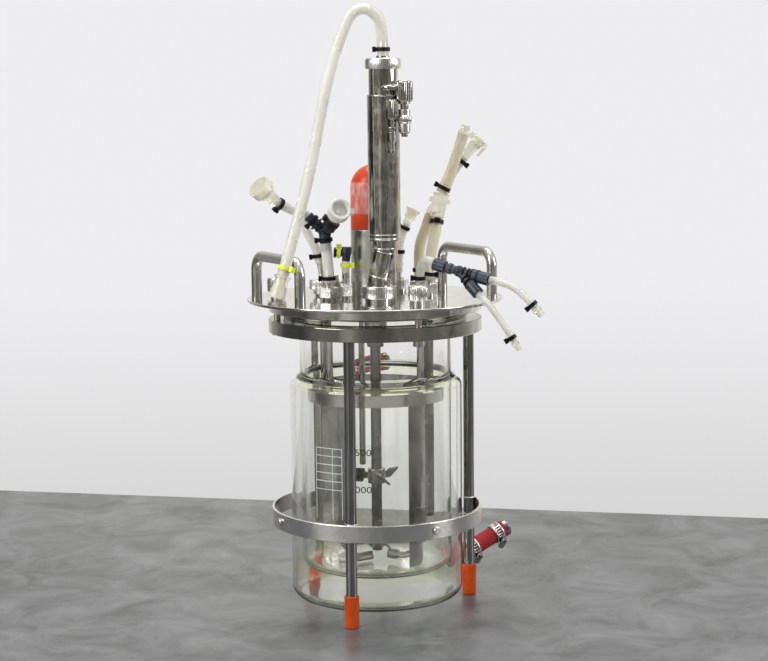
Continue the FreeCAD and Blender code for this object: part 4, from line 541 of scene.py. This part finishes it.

# --- Stand -----------------------------------------------------------------------------------------------
# Polished legs screwed into the clamp ring, with soft dipped caps; the support ring is spot-welded to them by
# small beads above and below.
# The legs get a much darker copy of the polished steel: painted shade standing in for the dark room that
# their polish reflects.
leg_steel_painted_shade = finish_material(
    "leg_steel_painted_shade", ((0.27, 0.265, 0.25), (0.36, 0.35, 0.335)), 0.04, 0.11, patch=20.0, grain=420.0,
    stretch=(1, 1, 0.2), bump=0.05, wave_depth=0.00005, Metallic=1.0)
give(leg_steel_painted_shade, "leg_front", "leg_right", "leg_rear")
give(bright_steel, "support_ring", "ring_screws")
orange_rubber = finish_material(
    "orange_rubber", ((0.50, 0.052, 0.003), (0.60, 0.075, 0.006)), 0.30, 0.48, patch=40.0, grain=700.0,
    swell=120.0, bump=0.15, wave_depth=0.0002, specks=(0.36, 0.04, 0.01), Specular_IOR_Level=0.28)
give(orange_rubber, "foot_caps")


def ring_bead(origin, heading, radius, thickness, width):
    """A bead round a bar, in millimetres: the ellipse r = R + t cos a, z = (w / 2) sin a, carried round."""
    turn = np.linspace(0, 2 * np.pi, 14, endpoint=False)
    points, faces = lathe(np.stack([radius + thickness * np.cos(turn), width / 2 * np.sin(turn)], -1), 48)
    return framed(points, origin, heading, (0.3, 1.0, 0.2)), faces


beads = [ring_bead((x, y, z), (0, 0, 1), 5.0, 0.7, 1.5)
         for x, y in ((-59.84, -65.07), (86.27, -19.28)) for z in (77.0, 92.0)]
dress(joined("weld_beads", beads), bright_steel, "satin_steel")

# --- Stirrer drive ---------------------------------------------------------------------------------------
# A satin steel bearing housing stands on the plate under a soft orange cap, which wears a band of dried white
# film where a label has been rubbed off.
housing_steel = finish_material(
    "housing_steel", ((0.50, 0.49, 0.46), (0.62, 0.61, 0.58)), 0.18, 0.30, patch=16.0, grain=300.0,
    stretch=(1, 1, 0.1), bump=0.10, Metallic=1.0)
give(housing_steel, "drive_housing", "shaft_gland", "shaft_bearings", "drive_hub")
cap_rubber = finish_material(
    "cap_rubber", ((0.50, 0.044, 0.008), (0.60, 0.062, 0.013)), 0.20, 0.36, patch=30.0, grain=700.0,
    swell=90.0, bump=0.1, wave_depth=0.0001, specks=(0.68, 0.14, 0.08), Specular_IOR_Level=0.35)
tree = cap_rubber.node_tree
where = node(tree, "TexCoord").outputs["Object"]
cap_height = node(tree, "SeparateXYZ", where).outputs["Z"]
film_low = ranged(cap_height, 0.3560, 0.3590, interpolation_type="SMOOTHSTEP")
film_high = ranged(cap_height, 0.3862, 0.3838, interpolation_type="SMOOTHSTEP")
film_band = node(tree, "Math", film_low, film_high, operation="MULTIPLY").outputs[0]
film_grain = node(tree, "TexNoise", Vector=stretched(where, (170, 170, 60)), Scale=1.0, Detail=5.0,
                  Roughness=0.65, Distortion=0.4)
film_left = ranged(film_grain.outputs["Fac"], 0.36, 0.62, 0.12, 0.85)
recoloured(cap_rubber, node(tree, "Math", film_band, film_left, operation="MULTIPLY").outputs[0],
           (0.70, 0.42, 0.38, 1))
give(cap_rubber, "drive_cap")

# --- Stirrer and pipes inside the vessel -----------------------------------------------------------------
# Turned and bent stainless steel that has stood in broth: a shade browner and duller than the outside, with a
# faint vertical grain. The shaft and the sensor's sleeve are darker still.
wetted_steel = finish_material(
    "wetted_steel", ((0.33, 0.315, 0.285), (0.46, 0.445, 0.415)), 0.12, 0.26, patch=24.0, grain=300.0,
    stretch=(1, 1, 0.15), bump=0.12, wave_depth=0.00008, specks=(0.20, 0.19, 0.17), Metallic=1.0)
give(wetted_steel, "upper_impeller", "lower_impeller", "baffle_cage", "sparger_pipe", "harvest_pipe",
     "dip_pipes")
shaft_steel = finish_material(
    "shaft_steel", ((0.15, 0.142, 0.12), (0.24, 0.23, 0.20)), 0.16, 0.32, patch=30.0, grain=420.0,
    stretch=(1, 1, 0.4), bump=0.2, specks=(0.36, 0.34, 0.29), Metallic=1.0)
give(shaft_steel, "stirrer_shaft", "sensor_sleeve")

# --- Exhaust condenser -----------------------------------------------------------------------------------
# A polished jacketed tube on a leaning neck, welded from rolled sheet and heat-tinted, with long dark upright
# streaks painted on as a reflection of the room. Union nuts hold both ends; the water couplings at its side
# have knurled grips.
flask_steel = finish_material(
    "flask_steel", ((0.42, 0.40, 0.36), (0.66, 0.645, 0.61)), 0.05, 0.17, patch=75.0, grain=420.0,
    swell=130.0, stretch=(1, 1, 0.13), bump=0.35, wave_depth=0.0006, specks=(0.58, 0.47, 0.31), Metallic=1.0)
tree = flask_steel.node_tree
# Long dark upright streaks laid over the colour: a painted reflection of the room, not marks on the steel.
reflection_streak_way = stretched(node(tree, "TexCoord").outputs["Object"], (1, 1, 0.12))
painted_reflection_streaks = node(tree, "TexNoise", Vector=reflection_streak_way, Scale=620.0, Detail=4.0, Roughness=0.6)
recoloured(flask_steel, ranged(painted_reflection_streaks.outputs["Fac"], 0.50, 0.70), (0.16, 0.15, 0.13, 1))
give(flask_steel, "condenser", "exhaust_barb", "coolant_outlet", "coolant_inlet")
give(bright_steel, "condenser_union_nut", "condenser_top_nut", "outlet_sleeve")
condenser_x, condenser_y, lean = -13.37, -44.93, (0.1842, -0.1021, 0.9776)
welds = [ring_bead((condenser_x, condenser_y, height), (0, 0, 1), radius, thickness, width)
         for height, radius, thickness, width in (
             (337.6, 14.1, 0.75, 1.8), (341.2, 14.1, 0.35, 1.0), (461.2, 14.0, 0.5, 1.4),
             (329.2, 11.4, 0.5, 1.3))]
welds += [ring_bead(origin, lean, 10.1, 0.4, 1.2)
          for origin in ((-17.88, -42.43, 304.08), (-13.76, -44.71, 325.9))]
dress(joined("condenser_welds", welds), polished_steel, "polished_steel")
outlet_x, outlet_y = -2.72, -63.38
for name, origin, radius, tall, ridges, depth, steel, body in (
        ("union_nut_knurl", (-18.27, -42.22, 286.3), 15.2, 9.0, 60, 0.2, bright_steel, "union_nut"),
        ("top_nut_knurl", (condenser_x, condenser_y, 485.0), 15.4, 7.2, 60, 0.2, bright_steel, "top_nut"),
        ("outlet_grip", (outlet_x, outlet_y, 457.0), 6.82, 15.6, 20, 0.6, ring_steel, STAND),
        ("outlet_sleeve_grip", (outlet_x, outlet_y, 438.9), 6.1, 4.2, 30, 0.3, satin_steel,
         "coupling_sleeve"),
        ("inlet_grip", (-15.03, -63.86, 441.8), 3.82, 15.2, 13, 0.5, ring_steel, STAND)):
    dress(joined(name, [knurled(origin, radius, tall, ridges, depth)]), steel, "satin_steel", body)

# --- Moulded fittings ------------------------------------------------------------------------------------
# Quick couplings in clear plastic that has aged to a faint straw yellow, and dark blue-grey Y pieces whose
# arms carry moulded grip ribs.
clear_plastic = finish_material(
    "clear_plastic", ((0.95, 0.925, 0.77), (0.99, 0.975, 0.88)), 0.06, 0.18, patch=60.0, grain=500.0,
    swell=160.0, bump=0.06, wave_depth=0.0002, Transmission_Weight=0.7, IOR=1.45)
white_plastic = finish_material(
    "white_plastic", ((0.93, 0.915, 0.87), (0.97, 0.96, 0.925)), 0.15, 0.3, patch=50.0, swell=140.0,
    bump=0.05, wave_depth=0.0001, Transmission_Weight=0.15, IOR=1.5)
dark_plastic = finish_material(
    "dark_plastic", ((0.010, 0.014, 0.022), (0.036, 0.048, 0.066)), 0.25, 0.45, patch=90.0, swell=200.0,
    bump=0.12, wave_depth=0.0001, specks=(0.09, 0.11, 0.14), Specular_IOR_Level=0.35)
black_nylon = finish_material(
    "black_nylon", ((0.004, 0.004, 0.0045), (0.011, 0.011, 0.012)), 0.3, 0.5, bump=0.1,
    Specular_IOR_Level=0.22)
give(clear_plastic, "exhaust_coupling", "cup_coupling", "twin_coupling", "small_couplings", "tube_tips")
give(white_plastic, "ring_coupling", "ring_latch")
give(dark_plastic, "left_y_connector", "right_y_connector", "tee_fitting")
stem_way, branch_way = (-0.5836, 0.7794, 0.2278), (-0.2451, 0.729, 0.6392)
riser_way, cup_way, ring_way = (-0.0617, 0.0411, 0.9972), (-0.6267, 0.3306, 0.7057), (0.3941, -0.5503, 0.7361)
ribs = [ring_bead(*rib) for rib in (
    ((43.9, -75.4, 308.2), stem_way, 4.2, 0.9, 1.9), ((46.6, -79.0, 307.1), stem_way, 4.2, 1.1, 2.2),
    ((49.1, -82.3, 306.2), stem_way, 4.2, 1.0, 1.8), ((51.0, -84.9, 305.4), stem_way, 4.3, 1.2, 2.4),
    ((54.6, -89.7, 304.0), stem_way, 5.4, 0.7, 2.0), ((47.2, -85.3, 299.5), branch_way, 4.0, 1.1, 2.2),
    ((46.2, -82.4, 302.0), branch_way, 4.0, 1.0, 1.8), ((47.9, -87.4, 297.6), branch_way, 4.8, 0.8, 1.6),
    ((-50.4, -2.7, 336.0), riser_way, 5.0, 0.9, 1.8), ((-54.6, -0.5, 346.5), cup_way, 4.6, 0.9, 1.7),
    ((-50.2, -3.3, 343.6), ring_way, 5.3, 0.8, 1.7), ((-47.0, -7.8, 349.4), ring_way, 5.3, 0.7, 1.6))]
dress(joined("connector_ribs", ribs), black_nylon, "black_nylon")

# --- Silicone hoses --------------------------------------------------------------------------------------
# Peroxide-cured silicone tubing, milky and soft, pushed over the barbs, where it swells a little. The twin
# hoses have aged yellow. Each is a real tube with a bore.
silicone = finish_material(
    "silicone", ((0.91, 0.895, 0.82), (0.955, 0.945, 0.885)), 0.22, 0.36, patch=24.0, grain=300.0, swell=45.0,
    bump=0.03, wave_depth=0.0001, Transmission_Weight=0.55, IOR=1.34)
aged_silicone = finish_material(
    "aged_silicone", ((0.95, 0.89, 0.665), (0.975, 0.93, 0.75)), 0.18, 0.30, patch=24.0, grain=300.0,
    swell=45.0, bump=0.03, wave_depth=0.0003, Transmission_Weight=0.35, IOR=1.36)


def hose_line(route):
    """The points of a smooth spline of order three, drawn to the route's points from the first."""
    curve = bpy.data.curves.new("guide", "CURVE")
    curve.dimensions, curve.resolution_u = "3D", 14
    spline = curve.splines.new("NURBS")
    spline.points.add(len(route) - 1)
    spline.points.foreach_set("co", np.hstack([np.array(route), np.ones((len(route), 1))]).ravel())
    spline.order_u = 3
    spline.use_endpoint_u = True
    return drawn(curve)[0]


def distance_along(line):
    """How far each point of a line is from its start, along it."""
    return np.concatenate([[0], np.cumsum(np.linalg.norm(np.diff(line, axis=0), axis=1))])


def bored_tube(name, line, outer, inner, sides, finish, *nodes):
    """
    A bored tube on a line, in a (material, slot) finish. Ring i is c + r (u cos a + v sin a) about the line's
    point c, with u and v square to the line and u near the direction it turns least about; the outer wall
    runs out along the line and the inner wall back. Its chart holds the share of a turn and the distance
    along.
    """
    way = np.gradient(line, axis=0)
    way /= np.linalg.norm(way, axis=1)[:, None]
    least = np.linalg.svd(way)[2][-1]
    side = least - (way @ least)[:, None] * way
    side /= np.linalg.norm(side, axis=1)[:, None]
    angle = np.linspace(0, 2 * np.pi, sides, endpoint=False)[:, None]
    circle = side[:, None] * np.cos(angle) + np.cross(way, side)[:, None] * np.sin(angle)
    outer = np.broadcast_to(outer, len(line))[:, None, None]
    rings = np.concatenate([line[:, None] + outer * circle, (line[:, None] + inner * circle)[::-1]])
    gone = distance_along(line)
    gone = np.concatenate([gone, gone[::-1]])
    faces = ring_faces(len(rings), sides)
    share = np.broadcast_to((np.arange(sides)[:, None] + [0, 1, 1, 0]) / sides, faces.shape)
    chart = np.stack([share, gone[faces // sides]], -1)
    return dress(put_mesh(name, rings, faces.reshape(-1, 4), 40.0, chart), *finish, STAND, *nodes)


def hose(name, route, diameter, bore, aged, *nodes):
    """A silicone hose on a route, and its line; its ends swell by a thirtieth over one diameter."""
    line = hose_line(route)
    gone = distance_along(line)
    ends = np.exp(-(gone / diameter) ** 2) + np.exp(-((gone[-1] - gone) / diameter) ** 2)
    finish = (aged_silicone if aged else silicone, "silicone")
    return bored_tube(name, line, diameter / 2 * (1 + ends / 30), bore / 2, 36, finish, *nodes), line


exhaust, exhaust_way = hose("exhaust_line", [
    (-0.0134, -0.0449, 0.4955), (-0.0134, -0.0449, 0.5125), (-0.0160, -0.0444, 0.5276),
    (-0.0268, -0.0404, 0.5370), (-0.0391, -0.0364, 0.5328), (-0.0470, -0.0344, 0.5150),
    (-0.0550, -0.0336, 0.4945), (-0.0624, -0.0342, 0.4715), (-0.0691, -0.0352, 0.4462),
    (-0.0758, -0.0370, 0.4191), (-0.0838, -0.0393, 0.3912), (-0.0933, -0.0420, 0.3638),
    (-0.1031, -0.0444, 0.3365), (-0.1122, -0.0459, 0.3103)], 0.0098, 0.0060, False, "exhaust_hose")
hose("addition_line", [
    (-0.0405, 0.0295, 0.3120), (-0.0423, 0.0305, 0.3240), (-0.0480, 0.0346, 0.3355),
    (-0.0521, 0.0368, 0.3465), (-0.0535, 0.0375, 0.3565)], 0.0080, 0.0048, False, "addition_tube")
hose("twin_front_line", [
    (0.0424, -0.0225, 0.2975), (0.0439, -0.0236, 0.3120), (0.0472, -0.0229, 0.3285),
    (0.0515, -0.0217, 0.3410), (0.0539, -0.0199, 0.3525)], 0.0098, 0.0062, True, "twin_tube_front")
hose("twin_rear_line", [
    (0.0479, 0.0023, 0.2975), (0.0469, 0.0020, 0.3115), (0.0466, -0.0003, 0.3275), (0.0505, -0.0046, 0.3410),
    (0.0532, -0.0085, 0.3540)], 0.0098, 0.0062, True, "twin_tube_rear")
hose("tall_line", [
    (0.0572, -0.0213, 0.3741), (0.0622, -0.0238, 0.3848), (0.0669, -0.0254, 0.3973),
    (0.0713, -0.0277, 0.4115), (0.0757, -0.0301, 0.4267)], 0.0098, 0.0062, True, "tall_tube")
sample_long, long_way = hose("sample_line_long", [
    (0.0608, -0.0980, 0.3016), (0.0695, -0.1049, 0.2998), (0.0778, -0.1116, 0.2953),
    (0.0856, -0.1180, 0.2872), (0.0929, -0.1241, 0.2762)], 0.0068, 0.0036, False, "sample_tube_long")
sample_short, short_way = hose("sample_line_short", [
    (0.0508, -0.0961, 0.2900), (0.0542, -0.1056, 0.2833), (0.0607, -0.1104, 0.2720),
    (0.0677, -0.1164, 0.2591), (0.0730, -0.1209, 0.2479)], 0.0058, 0.0030, False, "sample_tube_short")
for name, route, diameter, bore in (
        ("riser_sleeve", [(-0.0478, -0.0039, 0.2975), (-0.0482, -0.0037, 0.3157), (-0.0502, -0.0028, 0.3326)],
         0.0098, 0.0062),
        ("branch_sleeve", [(-0.0635, 0.0043, 0.3566), (-0.0740, 0.0062, 0.3606), (-0.0840, 0.0070, 0.3646),
                           (-0.0933, 0.0062, 0.3702)], 0.0080, 0.0048),
        ("small_sleeve", [(-0.0320, -0.0056, 0.3061), (-0.03185, -0.0057, 0.3110),
                          (-0.0317, -0.0058, 0.3160)], 0.0068, 0.0038),
        ("rear_sleeve", [(0.0398, 0.0268, 0.3000), (0.0402, 0.0268, 0.3170), (0.0418, 0.0265, 0.3315),
                         (0.0466, 0.0242, 0.3445)], 0.0066, 0.0038),
        ("side_sleeve", [(0.0661, -0.0142, 0.3741), (0.0694, -0.0153, 0.3855), (0.0754, -0.0168, 0.3960),
                         (0.0820, -0.0199, 0.4055)], 0.0080, 0.0048),
        ("elbow_sleeve", [(0.0229, -0.0422, 0.2975), (0.0228, -0.0427, 0.3086), (0.0241, -0.0462, 0.3158),
                          (0.0275, -0.0520, 0.3175), (0.0298, -0.0566, 0.3137)], 0.0080, 0.0048)):
    hose(name, route, diameter, bore, False, "silicone_sleeves")

# --- Ties ------------------------------------------------------------------------------------------------
# Moulded nylon cable ties, pulled tight round the hoses over their barbs: black ones, and bright yellow ones
# on the sterile side.
yellow_nylon = finish_material("yellow_nylon", ((0.66, 0.76, 0.015), (0.82, 0.88, 0.04)), 0.25, 0.4, bump=0.1)
give(black_nylon, "black_ties")
give(yellow_nylon, "yellow_ties")

# --- Jacket water hoses ----------------------------------------------------------------------------------
# Red rubber hose under a woven cover, closed by metal plugs and held on the glass nipples by slotted worm
# clamps, whose bands let the red cover show through.
red_rubber = finish_material(
    "red_rubber", ((0.42, 0.012, 0.016), (0.56, 0.026, 0.030)), 0.35, 0.55, patch=60.0, grain=1500.0,
    bump=0.1, Specular_IOR_Level=0.3)
tree = red_rubber.node_tree
laid_out = stretched(node(tree, "UVMap").outputs["UV"], (26.0, 520.0, 1.0))
strand_way = node(tree, "SeparateXYZ", laid_out).outputs
turn = node(tree, "Math", strand_way["X"], 2 * math.pi, operation="MULTIPLY").outputs[0]
strands = []
for slope in (math.pi, -math.pi):
    lay = node(tree, "Math", strand_way["Y"], slope, turn, operation="MULTIPLY_ADD").outputs[0]
    strands.append(node(tree, "Math", lay, operation="SINE").outputs[0])
woven = node(tree, "Math", *strands, operation="MAXIMUM").outputs[0]
weave_bump = node(tree, "Bump", Strength=0.9, Distance=0.0003, Height=woven)
grain_bump = tree.nodes["Principled BSDF"].inputs["Normal"].links[0].from_node
feed(grain_bump.inputs["Normal"], weave_bump.outputs["Normal"])
# The cover is darkened by the weave's height, darkest in its low places: painted shade between the strands.
recoloured(red_rubber, 1.0, ranged(woven, -0.2, 1.0, 0.55, 1.0), "MULTIPLY")
clamp_steel = finish_material(
    "clamp_steel", ((0.56, 0.55, 0.53), (0.70, 0.69, 0.67)), 0.12, 0.26, patch=40.0, bump=0.08,
    wave_depth=0.0001, Metallic=1.0)
plug_steel = finish_material(
    "plug_steel", ((0.17, 0.165, 0.155), (0.33, 0.32, 0.30)), 0.14, 0.3, patch=90.0, bump=0.1,
    specks=(0.48, 0.36, 0.16), Metallic=1.0)
give(plug_steel, "hose_plugs")
cover_outer, cover_bore, half_band = 8.1, 5.4, 4.5
lower_start, lower_seats, upper_seat = 4.6, (22.6, 51.6), 8.0
lower_line = hose_line((lower_root + lower_way * np.array([[lower_start], [24.0], [43.0], [63.6]])) * MM)
upper_line = hose_line(np.array([
    (20.6, 76.8, 189.3), (25.9, 96.6, 200.5), (40.0, 95.0, 206.0), (56.0, 89.0, 208.0)]) * MM)


def nipped(line, *middles):
    """The cover's outer radius at s along a line: R - d exp(-((s - b) / e)^4) near each band's middle b."""
    nip, reach = 0.25, 4.0
    gone = distance_along(line) / MM
    return (cover_outer - nip * sum(np.exp(-((gone - middle) / reach) ** 4) for middle in middles)) * MM


fine_lower = lower_line[0] + (lower_line[-1] - lower_line[0]) * np.linspace(0, 1, 90)[:, None]
woven_cover = (red_rubber, "red_rubber")
lower_radius = nipped(fine_lower, *[seat + half_band - lower_start for seat in lower_seats])
bored_tube("lower_jacket_hose", fine_lower, lower_radius, cover_bore * MM, 64, woven_cover, "coolant_hoses")
bored_tube("upper_jacket_hose", upper_line, cover_outer * MM, cover_bore * MM, 64, woven_cover,
           "coolant_hoses")


def slotted_band(origin, heading, side):
    """
    A worm clamp's band as a sheet on a cylinder, 9 mm wide at 8.25 mm radius: a grid of angle and width whose
    middle rows miss three cells in six, which are the slots, except under the housing.
    """
    angles, under_housing, band_radius = 120, 14, 8.25
    rows = half_band + np.array([-4.5, -3.2, -2.8, 0, 2.8, 3.2, 4.5])
    points, faces = lathe(np.stack([np.full(len(rows), band_radius), rows], -1), angles, closed=False)
    i, j = np.divmod(np.arange(len(faces)), angles)
    slot = (i >= 2) & (i <= 3) & (j % 6 < 3) & (j > under_housing) & (j < angles - under_housing)
    return framed(points, origin, heading, side), faces[~slot]


def housing(origin, heading, side):
    """
    A worm clamp's housing and screw, both turned and laid with their axis along y. The housing is a rounded
    saddle, an ellipse x = 11.3 + 2.7 cos a, z = 4.5 + 3.8 sin a. The screw has a thread at one end and at the
    other a recessed head, whose rim keeps r (1 - 0.09 (1 + cos 6a) / 2), which makes it six-sided.
    """
    stand_off, saddle_wide, saddle_high = 11.3, 2.7, 3.8
    saddle, saddle_faces = lathe(
        rounded([(0, -5.6), (1, -5.6, 0.25), (1, 5.6, 0.25), (0, 5.6)], 4), 32, closed=False)
    thread = [(2.2 if turn % 2 else 1.7, -9.2 + 0.45 * turn) for turn in range(9)]
    screw, screw_faces = lathe(np.array(
        [(0, -9.6), (1.6, -9.6)] + thread + [
            (1.7, -5.4), (1.7, 5.4), (2.0, 5.6), (2.0, 6.4), (3.1, 6.5), (3.2, 6.9), (3.2, 8.9), (2.9, 9.2),
            (0.9, 9.2), (0.9, 8.2), (0, 8.2)]), 24, closed=False)
    on_rim = (screw[:, 2] > 6.45) & (np.hypot(screw[:, 0], screw[:, 1]) > 2.5)
    six_sided = 1 - 0.09 * (np.cos(6 * np.arctan2(screw[:, 1], screw[:, 0])) + 1) / 2
    screw[:, :2] *= np.where(on_rim, six_sided, 1.0)[:, None]
    parts = []
    for points, faces, wide, high in (
            (saddle, saddle_faces, saddle_wide, saddle_high), (screw, screw_faces, 1.0, 1.0)):
        laid = np.stack([stand_off + wide * points[:, 0], points[:, 2], half_band + high * points[:, 1]], -1)
        parts.append((framed(laid, origin, heading, side), faces[:, ::-1]))
    return parts


seats = [(lower_root + lower_way * seat, lower_way, (0, -0.55, -0.85)) for seat in lower_seats]
seated = int(np.argmin(abs(distance_along(upper_line) - upper_seat * MM)))
seats.append((upper_line[seated] / MM, upper_line[seated + 1] - upper_line[seated], (-0.3, 0, -1.0)))
bands = joined("clamp_bands", [slotted_band(*seat) for seat in seats])
dress(bands, clamp_steel, "clamp_steel", STAND, "hose_clamps")
sheet = bands.modifiers.new("sheet", "SOLIDIFY")
sheet.thickness, sheet.offset = 0.7 * MM, 1.0
dress(joined("clamp_housings", [part for seat in seats for part in housing(*seat)]), plug_steel,
      "clamp_steel", STAND, "hose_clamps")
